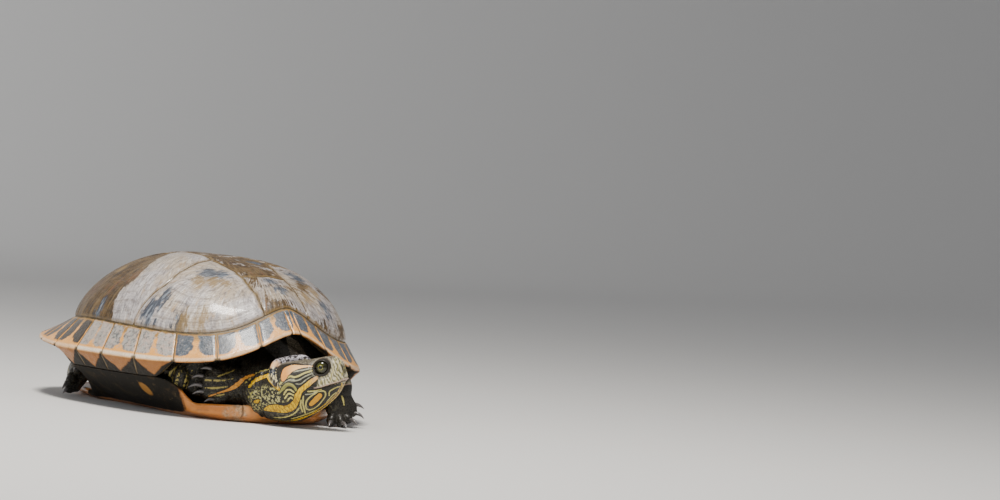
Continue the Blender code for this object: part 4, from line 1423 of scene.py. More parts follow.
def mark_head(mesh, points):
    along, up, right = to_head(points)
    out = np.abs(right)
    on = np.linalg.norm(points - from_head(20, 0, 0), axis=1) < 60
    crown = up - np.interp(along, *np.transpose(CROWN_EDGE))
    beak = along - np.interp(up, *np.transpose(BEAK_EDGE))
    values = {
        "crown": np.where(on & (along > 0), crown, -8),
        "beak": np.where(on & (up > -4.9), beak, -8),
        "mouth": np.where(on, up - mouth_line(along), 8) + 8 * (along < MOUTH_CORNER - 1),
        "lid": np.where(on & (out > 3), np.hypot(along - EYE_ALONG, up - EYE_UP) - 4.5, 20),
        "along": along,
        "up": up,
        "head": np.where(on, smoothstep(-8, 0, along), 0),
        "nostril": nostril_distance(along, up, out),
    }
    for key, value in values.items():
        put_value(mesh, key, value)


skin_points = points_of(skin_mesh)
mark_stripes(skin_mesh, skin_points, vectors(skin_mesh.vertex_normals, "vector"))
mark_head(skin_mesh, skin_points)
print("values on the skin:", [a.name for a in skin_mesh.attributes if a.data_type == "FLOAT"])

# %% [markdown]
# ## The skin's colours
# A nearly black ground carries the stripes. The crown is plainer and browner, the beak is
# pale horn with fine upright lines, and a dark ring runs round each eye. Small scales are
# too many to model, so a relief of cells makes them, larger on the limbs than on the face.

# %% Skin: what its marks share
INK = (0.014, 0.012, 0.008)         # the dark outline of a bright stripe


class SkinPaint(Paint):
    """The skin's material, with the noise and the places that its marks share."""

    def __init__(self):
        super().__init__("striped_skin", ("head", "along", "up"))
        self.wobble = self.shaky(2.2, 2) * 0.55
        self.grain = self.noise(0.8, 3)

    def mark(self, key, soft=0.14, inner=0.0):
        """1 on the lines of this name, which inner makes wider on both sides."""
        return self.below(self.value(key) + self.wobble, inner - soft, inner + soft)


def skin_ground(p, scale_edge):
    """Nearly black, with pale speckle behind the ear and a browner crown."""
    black = p.blend(p.noise(9, 3), (0.006, 0.005, 0.004), (0.022, 0.019, 0.013))
    ground = p.blend((1 - scale_edge) * 0.35, black, (0.055, 0.050, 0.038))
    speck = p.rise(p.noise(1.6, 2, 0.6), 0.50, 0.57)
    behind_ear = p.within(p.along, -17, 9, 3) * p.within(p.up, -8.5, 5, 2)
    throat = p.within(p.along, -6, 22, 4) * p.within(p.up, -19, -13, 2)
    ground = p.blend(speck * behind_ear * 0.85, ground, (0.52, 0.48, 0.19))
    ground = p.blend(speck * throat * 0.45, ground, (0.26, 0.24, 0.15))
    dots = p.rise(p.noise(1.2, 2, 0.6), 0.57, 0.65) * (1 - p.head)
    ground = p.blend(dots * 0.5, ground, (0.15, 0.135, 0.075))
    crown = p.rise(p.value("crown") + p.wobble, -0.3, 0.7)
    lines = p.rise(p.noise(1.0, 2, 0.5, p.stretched((1.0, 1.0, 3.0))), 0.45, 0.6)
    return p.blend(crown, ground, p.blend(lines, (0.085, 0.072, 0.050), (0.25, 0.215, 0.160)))


# %% Skin: the stripes
def yellow_stripe(p, fold):
    """Peach by the eye and yellow below, with painted shade in the folds of the throat."""
    yellow = p.blend(fold, (0.46, 0.23, 0.0), (0.86, 0.54, 0.004))
    folds = (p.along * 2.5 + p.up * 0.8 + p.shaky(3.0, 3, 0.6) * 9).wave()
    # Painted shade: darker bands across the stripe under the jaw stand for the shade in the throat's folds.
    painted_fold_shade = p.rise(folds, 0.55, 0.95) * p.below(p.up, -9.5, -6)
    yellow = p.blend(painted_fold_shade * 0.8, yellow, (0.26, 0.13, 0.003))
    start = p.rise(p.along, 24, 30) * p.rise(p.up, -4, -2)
    return p.blend(start * 0.8, yellow, (0.80, 0.45, 0.19))


def orange_wedge(p):
    """Deep orange behind the ear, and paler towards the eye."""
    orange = p.blend(p.rise(p.along, -6, 4), (0.66, 0.25, 0.012), (0.82, 0.31, 0.045))
    orange = p.blend(p.rise(p.along, 12, 19), orange, (0.98, 0.55, 0.20))
    return p.blend(p.grain * 0.25, orange, (0.90, 0.56, 0.22))


def skin_stripes(p, color, fold):
    pale = p.blend(p.grain, (0.42, 0.37, 0.09), (0.70, 0.61, 0.19))
    gray = p.blend(p.grain, (0.27, 0.27, 0.17), (0.46, 0.45, 0.30))
    olive = p.blend(p.grain, (0.20, 0.19, 0.045), (0.40, 0.36, 0.09))
    oval = p.blend(p.grain, (0.66, 0.28, 0.003), (0.87, 0.43, 0.007))
    color = p.blend(p.mark("gray", inner=0.06), color, gray)
    broken = p.head.most(p.rise(p.noise(2.4, 2), 0.36, 0.44))
    fine = p.mark("fine", inner=0.12) * broken
    color = p.blend(fine, color, p.blend(p.head, (0.38, 0.31, 0.085), pale))
    color = p.blend(p.mark("olive"), color, olive)
    ring = p.mark("oval", inner=1.0) * (1 - p.mark("oval"))
    color = p.blend(ring, color, (0.012, 0.010, 0.007))
    color = p.blend(p.mark("oval"), color, oval)
    for key, outline_width, inside in (("bright", 0.55, yellow_stripe(p, fold)),
                                       ("wedge", 0.5, orange_wedge(p))):
        color = p.blend(p.mark(key, inner=outline_width) * 0.9, color, INK)
        color = p.blend(p.mark(key), color, inside)
    return color


# %% Skin: beak, lips and eye rings
def upright_lines(p):
    shift = p.shaky(2.6, 3, 0.6, p.stretched((1, 1, 0.4))) * 15
    ripple = (p.along * 3.4 + p.up * 0.9 + shift).wave()
    return p.rise(ripple + (p.grain - 0.5) * 1.5, -0.5, 0.6)


def face(p, color, beak, lines):
    horn = p.blend(lines, (0.160, 0.145, 0.080), (0.62, 0.56, 0.37))
    warm = (p.along * 2.1 - p.up * 0.8 + p.shaky(4, 2) * 8).wave()
    horn = p.blend(p.rise(warm, 0.6, 0.95) * 0.6, horn, (0.50, 0.42, 0.12))
    color = p.blend(beak * 0.92, color, horn)
    lips = p.within(p.value("mouth"), 0.15, 1.1, 0.25) * p.rise(p.along, 27, 29)
    color = p.blend(lips * 0.7, color, (0.55, 0.38, 0.30))
    lid = p.value("lid") + p.wobble * 0.6
    color = p.blend(p.below(lid, 1.1, 1.7), color, (0.022, 0.018, 0.012))
    # Painted highlight: a thin pale gray ring on the outer lid.
    return p.blend(p.within(lid, 1.9, 2.5, 0.3) * 0.55, color, (0.42, 0.39, 0.30))


def painted_shade_in_openings(p, color):
    # Painted shade: the groove of the mouth and the nostrils are painted nearly black.
    mouth = p.below(p.value("mouth").size(), 0.12, 0.4) * p.rise(p.along, 27.5, 29)
    color = p.blend(mouth, color, (0.02, 0.012, 0.009))
    return p.blend(p.below(p.value("nostril"), 0.5, 0.9), color, (0.012, 0.009, 0.008))


# %% Skin: the rim of the loose skin
def collar_rim(p, color):
    """Slate with pale strands at the side, and mottled with a peach tip on top."""
    rim = p.mark("collar", 0.3) * p.rise(p.up, 0.5, 3.5)
    strands = p.noise(1.5, 1, 0.4, p.stretched((1.2, 1.2, 0.22)))
    banded = p.blend(p.rise(strands, 0.42, 0.50), (0.012, 0.011, 0.010), (0.070, 0.085, 0.115))
    banded = p.blend(p.rise(strands, 0.53, 0.57), banded, (0.70, 0.60, 0.30))
    mottle = p.rise(p.cells(1.5, "F1", 0.9), 0.42, 0.70)
    hood = p.blend(mottle, (0.66, 0.62, 0.66), (0.035, 0.030, 0.034))
    banded = p.blend(p.rise(p.up, 15, 17), banded, hood)
    tip = p.within(p.up, 15.6, 19, 1.0) * p.within(p.along, 2, 7.5, 1.0)
    return p.blend(rim * 0.95, color, p.blend(tip, banded, (0.94, 0.56, 0.27)))


# %% Skin: the whole material
def skin_material():
    p = SkinPaint()
    scale_edge = p.rise(p.cells(1.5, "DISTANCE_TO_EDGE", 0.85), 0.02, 0.14)
    large_scale_edge = p.rise(p.cells(3.0, "DISTANCE_TO_EDGE", 0.8), 0.02, 0.16)
    fold = p.rise(p.noise(1.5, 2, 0.5, p.stretched((1.6, 1.6, 0.5))), 0.35, 0.6)
    beak = p.rise(p.value("beak") + p.wobble * 2, -0.8, 1.4)
    lines = upright_lines(p)
    color = skin_stripes(p, skin_ground(p, scale_edge), fold)
    color = painted_shade_in_openings(p, collar_rim(p, face(p, color, beak, lines)))
    relief = scale_edge * 0.10 * (1 - beak) + (1 - p.head) * large_scale_edge * 0.35
    relief = relief + p.grain * 0.05 + p.noise(3.5, 3) * 0.12 + lines * beak * 0.04
    relief = relief + p.mark("bright", 0.3) * fold * 0.16
    wet = 0.34 + p.grain * 0.16 - beak * 0.06
    return p.finish(color, wet, relief, 0.9, Coat_Weight=0.12, Coat_Roughness=0.15,
                    Specular_IOR_Level=0.32)


striped_skin = skin_material()

# %% [markdown]
# ## Eyes and claws
# An eye is a ball that sits mostly behind its lids. A claw is a curved cone of horn that
# starts inside the toe and droops towards its point.

# %% Forms of the eyes and the claws
EYE_PLAY = 0.05            # the eyeball is this much smaller than its solid
CLAW_RADIUS = 1.8
CLAW_ARCH = 0.16           # how high a claw is arched, as a share of its length


def eye_grid(node):
    """The ball, and how far each of its points is ahead of, above and out from its centre."""
    low, high = (np.array(corner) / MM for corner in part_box(node))
    centre, radius = (low + high) / 2, (high - low).min() / 2 - EYE_PLAY
    side = 1 if "right" in node else -1
    steps, segments = 48, 64
    polar = math.pi * np.arange(steps + 1) / steps
    turn = 2 * math.pi * np.arange(segments) / segments
    out = radius * (np.cos(polar)[:, None] + 0 * turn)
    ahead = radius * np.sin(polar)[:, None] * np.cos(turn)
    up = radius * np.sin(polar)[:, None] * np.sin(turn) * side
    grid = (centre + out[..., None] * HEAD_RIGHT * side + ahead[..., None] * HEAD_AHEAD
            + up[..., None] * HEAD_UP)
    return grid, {"iris_ahead": ahead, "iris_up": up * side}


def claw_grid(start, tip, steps=14, segments=16):
    start, tip = np.array(start, float), np.array(tip, float)
    ahead = unit(tip - start)
    side = unit(np.cross(ahead, [0, 0, 1]))
    lift = np.cross(side, ahead)
    t = np.clip((np.arange(steps + 1) - 1) / (steps - 2), 0, 1)
    arch = np.linalg.norm(tip - start) * CLAW_ARCH * np.sin(t * math.pi)
    wide = CLAW_RADIUS * (1 - t) ** 0.7
    wide[0] = 0
    turn = 2 * math.pi * np.arange(segments) / segments
    ring = side * np.cos(turn)[:, None] - lift * np.sin(turn)[:, None]
    middle = start + (tip - start) * t[:, None] + lift * arch[:, None]
    return middle[:, None] + ring * wide[:, None, None]


print("rings of a claw:", len(claw_grid((0, 0, 0), (0, 9, 0))))

# %% [markdown]
# ## Weathered horn
# Wet horn on an old shell is gloss over a worn surface. The front plates are silvery and
# finely lined where layers have lifted, the rear ones are brown with algae, and one plate
# is half peeled, with a ragged edge between its old layer and the new one. Growth lines
# run parallel to each plate's edge, so they are read from the distance to the edge.

# %% Values on the dome plates
# How brown each plate is, in millimetres of the peeling edge: below zero is fresh horn, and the freshest
# plates are also lightened as painted highlight.
VERTEBRAL_AGE = (-0.7, 1.6, 0.9, 2.6, 4.0)
COSTAL_AGE = (-5.0, 0.0, 5.0, 6.5, -0.6, 0.9, 3.0, 5.0)
PEELED_PLATE = 1
PEEL_EDGE = ((-80, -20), (-76, -17), (-70, -12), (-65, -17), (-58, -18), (-46, -10), (-26, 6),
             (-17, 14))
# Dark clouds in the horn: x, y and radius.
CLOUDS = ((-70, -58, 6.0), (-64, -61, 4.5), (-62, -81, 4.0), (-35, -66, 7.5), (-28, -70, 6.0),
          (-1, -86, 5.0), (2, -95, 5.0), (-78, -2, 4.0), (30, -66, 7.0), (52, -62, 6.0),
          (40, -92, 5.0), (64, -20, 7.0), (44, 24, 7.0), (-50, 66, 6.0), (12, -44, 5.0))
TAN_SPOTS = ((-44, -70, 4.5), (-37, -75, 4.5), (-30, -79, 4.0), (-51, -91, 3.5), (-60, -83, 3.0),
             (36, -80, 5.0), (24, -92, 4.0), (-52, 20, 4.0), (-5, 62, 5.0))


def spots_distance(x, y, spots):
    return np.min([np.hypot(x - a, y - b) - r for a, b, r in spots], axis=0)


def peel_distance(x, y):
    """Signed distance from the ragged edge: positive behind it, where the old layer stays."""
    line = smooth_line(PEEL_EDGE, 1.0)
    gap = np.hypot(x[..., None] - line[:, 0], y[..., None] - line[:, 1])
    nearest = gap.argmin(-1)
    behind = np.sign(y - line[nearest, 1] + 0.3 * (line[nearest, 0] - x))
    return np.clip(gap.min(-1) * behind, -6, 6)


def growth_fan(points, number):
    """Turn about the place where the plate began to grow, and distance from it."""
    x, y, z = (points[..., i] for i in range(3))
    if number < len(VERTEBRAL_AGE):
        start = np.array([0, y.max() + 4, z.max()])
        across, along = x - start[0], start[1] - y
    else:
        side = np.sign(x.mean())
        top = np.unravel_index(np.argmax(z), z.shape)
        start = np.array([x[top] - side * 6, y.mean() + 2, z[top] + 3])
        across, along = y - start[1], np.hypot(x - start[0], z - start[2])
    return np.arctan2(across, along + 6) * 34, np.hypot(across, along)


dome_values = {key: [] for key in ("edge", "old", "cloud", "tan", "fan", "reach")}
for number, (points, inside) in enumerate(dome_plates):
    x, y = points[..., 0], points[..., 1]
    old = np.full(x.shape, (VERTEBRAL_AGE + COSTAL_AGE)[number], float)
    if number - len(VERTEBRAL_AGE) == PEELED_PLATE:
        old = peel_distance(x, y)
    fan, reach = growth_fan(points, number)
    tables = (inside, old, spots_distance(x, y, CLOUDS), spots_distance(x, y, TAN_SPOTS),
              fan + number * 7, reach)
    for key, table in zip(dome_values, tables):
        dome_values[key].append(table)
print("values on the dome:", *dome_values)


# %% Dome plates: silver horn and brown horn
# Streaks: width, length, low, high, shift, strength and colour.
SILVER_STREAKS = ((0.9, 9, 0.50, 0.64, 0, 0.5, (0.12, 0.115, 0.135)),
                  (0.8, 12, 0.52, 0.68, 40, 0.6, (0.84, 0.80, 0.73)),
                  (1.6, 14, 0.56, 0.68, 90, 0.5, (0.46, 0.27, 0.10)))
BROWN_STREAKS = ((1.3, 20, 0.50, 0.64, 0, 0.6, (0.22, 0.145, 0.062)),
                 (0.9, 14, 0.54, 0.66, 50, 0.6, (0.030, 0.022, 0.012)),
                 (2.4, 30, 0.60, 0.70, 70, 0.4, (0.26, 0.10, 0.045)))


class HornPaint(Paint):
    """Horn has noise of two sizes, which also comes about 0, to shift an edge or a wave by."""

    def __init__(self, name, keys, small, middle):
        super().__init__(name, keys)
        self.small, self.middle = self.noise(*small), self.noise(*middle)
        self.grit, self.shift = self.small - 0.5, self.middle - 0.5

    def fibres(self, size, length, low, high, shift=0):
        """Streaks that fan out from where the plate began."""
        place = self.combine((self.fan + shift) / size, self.reach / length, self.old * 0.1)
        return self.rise(self.noise(1000, 3, 0.62, place), low, high)

    def streaked(self, color, streaks):
        for size, length, low, high, shift, strength, over in streaks:
            color = self.blend(self.fibres(size, length, low, high, shift) * strength, color, over)
        return color


def silver_horn(p, broad):
    silver = p.blend(p.rise(p.middle, 0.3, 0.7), (0.25, 0.225, 0.22), (0.52, 0.47, 0.455))
    # Painted highlight: the freshest plates, the front right costal above all, are lightened to stand for
    # the sheen on them.
    silver = p.blend(p.below(p.old, -5.0, -0.5) * 0.45, silver, (0.66, 0.61, 0.59))
    silver = p.blend(p.rise(broad, 0.42, 0.60) * 0.6, silver, (0.50, 0.38, 0.23))
    silver = p.blend(p.rise(p.noise(4, 4, 0.7), 0.52, 0.62) * 0.55, silver, (0.17, 0.135, 0.12))
    return p.streaked(silver, SILVER_STREAKS)


def brown_horn(p, broad):
    brown = p.blend(p.rise(p.middle, 0.3, 0.7), (0.034, 0.018, 0.005), (0.120, 0.068, 0.020))
    brown = p.blend(p.rise(broad, 0.5, 0.65) * 0.5, brown, (0.17, 0.112, 0.050))
    return p.streaked(brown, BROWN_STREAKS)


# %% Dome plates: growth lines, clouds and seams
GROWTH_SPACING, YEAR_SPACING = 1.7, 6.0


def growth_lines(p):
    """Fine lines and broad ones, both parallel to the plate's edge."""
    warp = p.shaky(7, 3, 0.55) * 4.0
    fine = ((p.edge + warp) * (2 * math.pi / GROWTH_SPACING)).wave()
    broad = ((p.edge + warp * 0.7) * (2 * math.pi / YEAR_SPACING)).wave()
    return (p.rise(fine + p.grit * 2.4, 0.4, 1.2),
            p.rise(broad + p.shift * 2.4, 0.5, 1.1))


def clouds_and_spots(p, color, broad):
    """Dark clouds torn by the fibres, and tan where the horn is thin."""
    torn = p.shift * 11 + (p.fibres(1.1, 10, 0.35, 0.65, 20) - 0.5) * 5 + p.grit * 3
    slate = p.blend(p.fibres(0.8, 8, 0.48, 0.64, 60), (0.030, 0.042, 0.064), (0.20, 0.235, 0.28))
    color = p.blend(p.below(p.cloud + torn, -2.2, 1.2) * 0.9, color, slate)
    near_seam = p.below(p.edge + p.shift * 5.0 + (broad - 0.5) * 5, 0.2, 2.4)
    spots = p.below(p.tan + torn * 0.7, -2.0, 1.5)
    tan = p.blend(p.small, (0.15, 0.098, 0.030), (0.38, 0.235, 0.080))
    return p.blend((near_seam * 0.65).most(spots * 0.75), color, tan)


# %% Dome plates: the whole material
def dome_material():
    p = HornPaint("weathered_horn", dome_values, (1.4, 3, 0.6), (6, 4, 0.6))
    broad = p.noise(26, 3)
    ragged = p.shaky(5, 4, 0.65) * 5 + p.shaky(17, 2) * 9
    age = p.old + ragged + (p.fibres(1.2, 14, 0.35, 0.65) - 0.5) * 1.6
    brown = p.rise(age, -0.4, 0.6)
    rings, wide = growth_lines(p)
    color = p.blend(brown, silver_horn(p, broad), brown_horn(p, broad))
    color = p.blend(rings * 0.26, color, (0.075, 0.060, 0.050))
    color = p.blend(wide * 0.34, color, (0.10, 0.070, 0.042))
    color = clouds_and_spots(p, color, broad)
    deep = p.below(p.edge + p.grit * 0.7, 0.3, 1.1)
    color = p.blend(deep * 0.85, color, (0.042, 0.027, 0.009))
    relief = p.grit * 0.14 + p.shift * 0.45 + p.fibres(1.0, 10, 0.3, 0.7) * 0.13
    relief = relief - rings * 0.07 - wide * 0.12 + p.rise(age, -0.25, 0.25) * 0.14
    rough = 0.22 + p.small * 0.14 + brown * 0.16 + p.fibres(0.9, 9, 0.45, 0.65) * 0.14
    return p.finish(color, rough, relief, 0.9, Coat_Weight=0.35 - brown * 0.25,
                    Coat_Roughness=0.10, Specular_IOR_Level=0.4)


show(mesh_from_grids("dome_plates", [points for points, inside in dome_plates], dome_values, True),
     ["carapace"], dome_material())

# %% [markdown]
# ## The painted margin
# Each marginal plate wears two dark blocks beside its seams and a warm bar between them,
# and the rim itself is a pale orange band. Below, the same plates are orange with a dark
# smudge over every seam. All of it depends on two distances: across the plate, and down
# from the edge.

# %% Values on the marginal plates
# For each plate of a side, from the front: how worn its dark blocks are, and how brown and dark they are;
# behind, that darkening is painted shade as well as brown horn.
WORN = (0.20, 0.25, 0.20, 0.85, 0.75, 0.95, 0.20, 0.30, 0.45, 0.50, 0.45, 0.40)
BROWNED_AND_SHADED = (0.0, 0.0, 0.0, 0.1, 0.1, 0.3, 0.9, 0.9, 0.9, 0.8, 0.7, 0.7)
margin_edges = [inside for points, inside in margin_plates]
places = [0] + 2 * list(range(len(WORN)))          # the small plate at the front is like the first
margin_values = {
    "edge": margin_edges, "across": margin_across, "down": margin_down,
    "worn": [0 * edge + WORN[place] for edge, place in zip(margin_edges, places)],
    "browned": [0 * edge + BROWNED_AND_SHADED[place] for edge, place in zip(margin_edges, places)],
}
print("values on the margin:", *margin_values)


# %% Marginal plates: bars and blocks
def warm_bar(p):
    """Orange, browner towards the dome, and paler along the rim, where a cream band is partly wear and
    partly painted highlight.
    """
    warm = p.blend(p.middle, (0.76, 0.31, 0.045), (0.94, 0.48, 0.13))
    pale = p.blend(p.rise(p.down, 0.3, 2.5), (0.92, 0.46, 0.13), warm)
    # Painted highlight: a cream band along the rounded edge of the rim, stronger on worn plates.
    rim = p.within(p.down, -0.2, 1.8, 0.8) * (p.worn * 0.65 + 0.25)
    pale = p.blend(rim, pale, (0.93, 0.84, 0.68))
    return p.blend(p.rise(p.down + p.shift * 5, 14, 18) * 0.85, pale, (0.27, 0.155, 0.040))


def block_shape(p, side):
    """A block has a round corner towards the middle of the plate, and stops above the rim."""
    corner = ((10.5 - p.down) / 7.5).most(0.0)
    bar = 0.13 - p.worn * 0.08 + corner * corner * (0.55 - p.worn * 0.33) + p.shift * 0.5
    block = p.rise(side - bar, -0.05, 0.06) * p.rise(p.down + p.shift * 3.5, 2.6, 3.8)
    block = block * p.below(p.down + p.shift * 4, 19, 21)
    return block * p.rise(p.edge + p.shift * 1.5, 0.6, 1.4)


def block_color(p, flake):
    """Slate that wears to gray, and behind turns brown and nearly black as painted shade, with a pale crust
    where it flakes.
    """
    slate = p.blend(p.rise(p.small, 0.3, 0.7), (0.018, 0.030, 0.048), (0.085, 0.115, 0.155))
    gray = p.blend(p.rise(p.middle, 0.35, 0.65), (0.20, 0.20, 0.18), (0.44, 0.38, 0.33))
    slate = p.blend(p.worn * 0.75, slate, gray)
    # Painted shade: behind, the blocks go nearly black, which stands for the shade on the rear plates as
    # well as for their brown horn.
    slate = p.blend(p.browned, slate, p.blend(p.small, (0.014, 0.011, 0.008), (0.080, 0.060, 0.040)))
    crust = p.blend(p.noise(1.7, 3), (0.30, 0.30, 0.26), (0.62, 0.56, 0.50))
    return p.blend(flake * (0.35 + p.worn * 0.65) * (1 - p.browned * 0.85), slate, crust)


# %% Marginal plates: the whole material
def margin_material():
    p = HornPaint("margin_horn", margin_values, (1.2, 3, 0.6), (5, 3, 0.6))
    side = p.across.size()
    block = block_shape(p, side)
    flake = p.rise(p.noise(2.2, 4, 0.68) + p.worn * 0.22, 0.60, 0.70)
    color = p.blend(block, warm_bar(p), block_color(p, flake))
    veil = p.rise(p.noise(3.0, 4, 0.65) + p.worn * 0.28, 0.70, 0.84) * p.rise(p.down, 3, 5)
    color = p.blend(veil * (0.8 - p.browned * 0.6), color, (0.52, 0.40, 0.33))
    under = p.below(p.down, -1.2, 0.0)
    smudge = p.rise(side + p.shift * 0.4 - (p.down + 7.5) * 0.085, 0.22, 0.40)
    below = p.blend(p.middle, (0.29, 0.105, 0.022), (0.45, 0.185, 0.046))
    below = p.blend(smudge, below, p.blend(p.small, (0.008, 0.007, 0.006), (0.034, 0.030, 0.024)))
    color = p.blend(under, color, below)
    stain = p.within(p.down, -2.2, 1.0, 0.8) * p.rise(side + p.shift * 0.2, 0.84, 0.93)
    color = p.blend(stain * 0.85, color, (0.030, 0.022, 0.015))
    rings = ((p.edge + p.shift * 3) * (2 * math.pi / 1.6)).wave() + p.grit * 2
    rings = p.rise(rings, 0.5, 1.2)
    color = p.blend(rings * 0.22, color, (0.080, 0.055, 0.035))
    deep = p.below(p.edge + p.grit * 0.4, 0.15, 0.6)
    color = p.blend(deep * 0.7, color, (0.10, 0.060, 0.022))
    relief = p.shift * 0.65 + p.small * 0.16 - rings * 0.06 + flake * block * 0.05
    rough = 0.26 + p.small * 0.16 + flake * 0.15 + under * smudge * 0.35
    return p.finish(color, rough, relief, 0.9, Coat_Weight=0.22 * (1 - under),
                    Coat_Roughness=0.10, Specular_IOR_Level=0.35)


show(mesh_from_grids("margin_plates", [points for points, inside in margin_plates],
                     margin_values, True), ["carapace"], margin_material())

# %% Material of the seams
def seam_material():
    p = Paint("seam_horn")
    grain, broad = p.noise(1.0, 3), p.noise(7, 3)
    color = p.blend(p.rise(broad, 0.40, 0.65), (0.070, 0.045, 0.013), (0.22, 0.145, 0.042))
    color = p.blend(grain * 0.5, color, (0.05, 0.034, 0.018))
    return p.finish(color, 0.5, grain * 0.2, 0.7)


show(mesh_from_grids("shell_body", [body_grid], None, True), ["carapace"], seam_material())

# %% [markdown]
# ## The belly shell's colours
# The edge of the front lobe shows as a warm orange lip with a gray smudge, and the bridge
# beside it is dark horn, deepened to nearly black as painted shade of the rim above it, with
# one orange spot. The flat underneath, which few people will see, has the pairs of dark
# blots that this kind of turtle carries on orange, and the seams between its twelve plates.

# %% Values on the belly shell
CROSS_SEAMS = ((-84, 6), (-50, -3), (-6, 2), (42, 6), (82, 8))      # place and bend
BLOTS = ((16, -98, 8), (34, -68, 10), (34, -28, 12), (34, 18, 12), (28, 62, 11), (16, 96, 8))

x, y, z = (belly_grid[..., i] for i in range(3))
seams = [np.abs(x)] + [np.abs(y - place - bend * np.cos(x / 40)) for place, bend in CROSS_SEAMS]
# Painted shade: the bridge, and the belly's sides between the bridges, are marked for the near black that
# stands for the shade under the rim, down almost to the floor.
shade_at_sides = smoothstep(52, 60, np.abs(x)) * (np.abs(y) < 60)
belly_values = {
    "seam": [np.min(seams, axis=0)],
    "blot": [spots_distance(x, y, BLOTS + mirrored_rows(BLOTS))],
    "side": [np.minimum(bridge(belly_theta) * smoothstep(0.5, 4, z) + shade_at_sides, 1)],
    "lip": [z],
}
print("values on the belly shell:", *belly_values)


# %% Belly shell: orange horn with its marks
def orange_horn(p):
    orange = p.blend(p.middle, (0.50, 0.145, 0.020), (0.74, 0.30, 0.070))
    orange = p.blend(p.rise(p.noise(20, 3), 0.48, 0.65) * 0.6, orange, (0.80, 0.40, 0.15))
    # Painted shade: the lobe's edge grows darker towards the floor.
    orange = p.blend(p.below(p.lip, 1.0, 5.0) * 0.45, orange, (0.30, 0.105, 0.028))
    ring = p.below(p.blot + p.shift * 4, -0.8, 0.8)
    hollow = p.below(p.blot + 4.5 + p.shift * 4, -0.8, 0.8)
    blot = ring * (1 - hollow * 0.6) * p.below(p.lip, 1.5, 3.5)
    return p.blend(blot * 0.92, orange, (0.045, 0.038, 0.030))


def lip_smudge(p, color):
    """The chalky smudge on the lip of the front lobe, and streaks along it."""
    x, y = p.axis(0) + 30, p.axis(1) + 106
    gone = x * x * 0.03 + y * y * 0.03
    smudge = p.below(gone + p.shift * 5 + p.grit * 2.5, 0.3, 2.2)
    chalk = p.blend(p.rise(p.noise(2.4, 4, 0.7), 0.35, 0.65), (0.14, 0.105, 0.065), (0.58, 0.44, 0.28))
    patchy = p.rise(p.noise(5.0, 4, 0.7), 0.36, 0.60) * 0.6 + 0.2
    color = p.blend(smudge * patchy, color, chalk)
    streak = p.rise(p.noise(5, 3, 0.6, p.stretched((0.5, 0.5, 2.2))), 0.56, 0.68)
    return p.blend(streak * 0.45, color, (0.16, 0.085, 0.040))


def bridge_horn(p, color, dark):
    """The bridge, dark horn deepened to nearly black as painted shade under the rim, with its one orange
    spot on the right side.
    """
    # Painted shade: nearly black where the rim shades the bridge and the belly's sides.
    painted_bridge_shade = p.blend(p.small, (0.003, 0.003, 0.002), (0.014, 0.011, 0.007))
    painted_bridge_shade = p.blend(p.rise(p.noise(9, 4, 0.65), 0.52, 0.62) * 0.6, painted_bridge_shade, (0.040, 0.026, 0.012))
    painted_bridge_shade = p.blend(p.rise(p.noise(2.2, 3, 0.6), 0.62, 0.70) * 0.5, painted_bridge_shade, (0.12, 0.085, 0.042))
    color = p.blend(dark, color, painted_bridge_shade)
    along, up = p.axis(1) + 56, p.lip - 15
    spot = along * along + up * up + p.below(-p.axis(0), 0, 1) * 99
    spot = p.below(spot + p.shift * 14, 9, 22) * dark
    return p.blend(spot * 0.8, color, (0.36, 0.17, 0.035))


# %% Belly shell: the whole material
def belly_material():
    p = HornPaint("belly_horn", belly_values, (1.4, 3), (6, 3, 0.6))
    dark = p.rise(p.side + p.shift * 0.5, 0.25, 0.5)
    color = bridge_horn(p, lip_smudge(p, orange_horn(p)), dark)
    crease = p.below((p.axis(0) + 26.5 + p.shift * 3).size(), 0.2, 0.7)
    crease = crease * p.below(p.axis(1), -90, -84)
    groove = p.below(p.seam, 0.25, 0.7).most(crease * p.rise(p.lip, 2.0, 4.0))
    color = p.blend(groove * 0.75, color, (0.11, 0.060, 0.025))
    relief = p.shift * 0.30 + p.small * 0.05 - groove * 0.5
    rough = 0.30 + p.small * 0.16 + dark * 0.38
    return p.finish(color, rough, relief, 0.8, Coat_Weight=0.3 * (1 - dark),
                    Coat_Roughness=0.12, Specular_IOR_Level=0.25)


show(mesh_from_grids("belly_shell", [belly_grid], belly_values, True), ["plastron"],
     belly_material())

# %% Show the skin
show(skin_mesh, ["trunk", "head", "neck", "tail", "leg_front_left", "leg_front_right",
                 "leg_hind_left", "leg_hind_right"], striped_skin)

# %% [markdown]
# ## Eyes and claws in colour
# A slider's iris is yellow-green with a dark bar straight through the pupil, which keeps
# the eye from standing out of the striped face. The claws are gray horn, darker where
# they leave the toe.

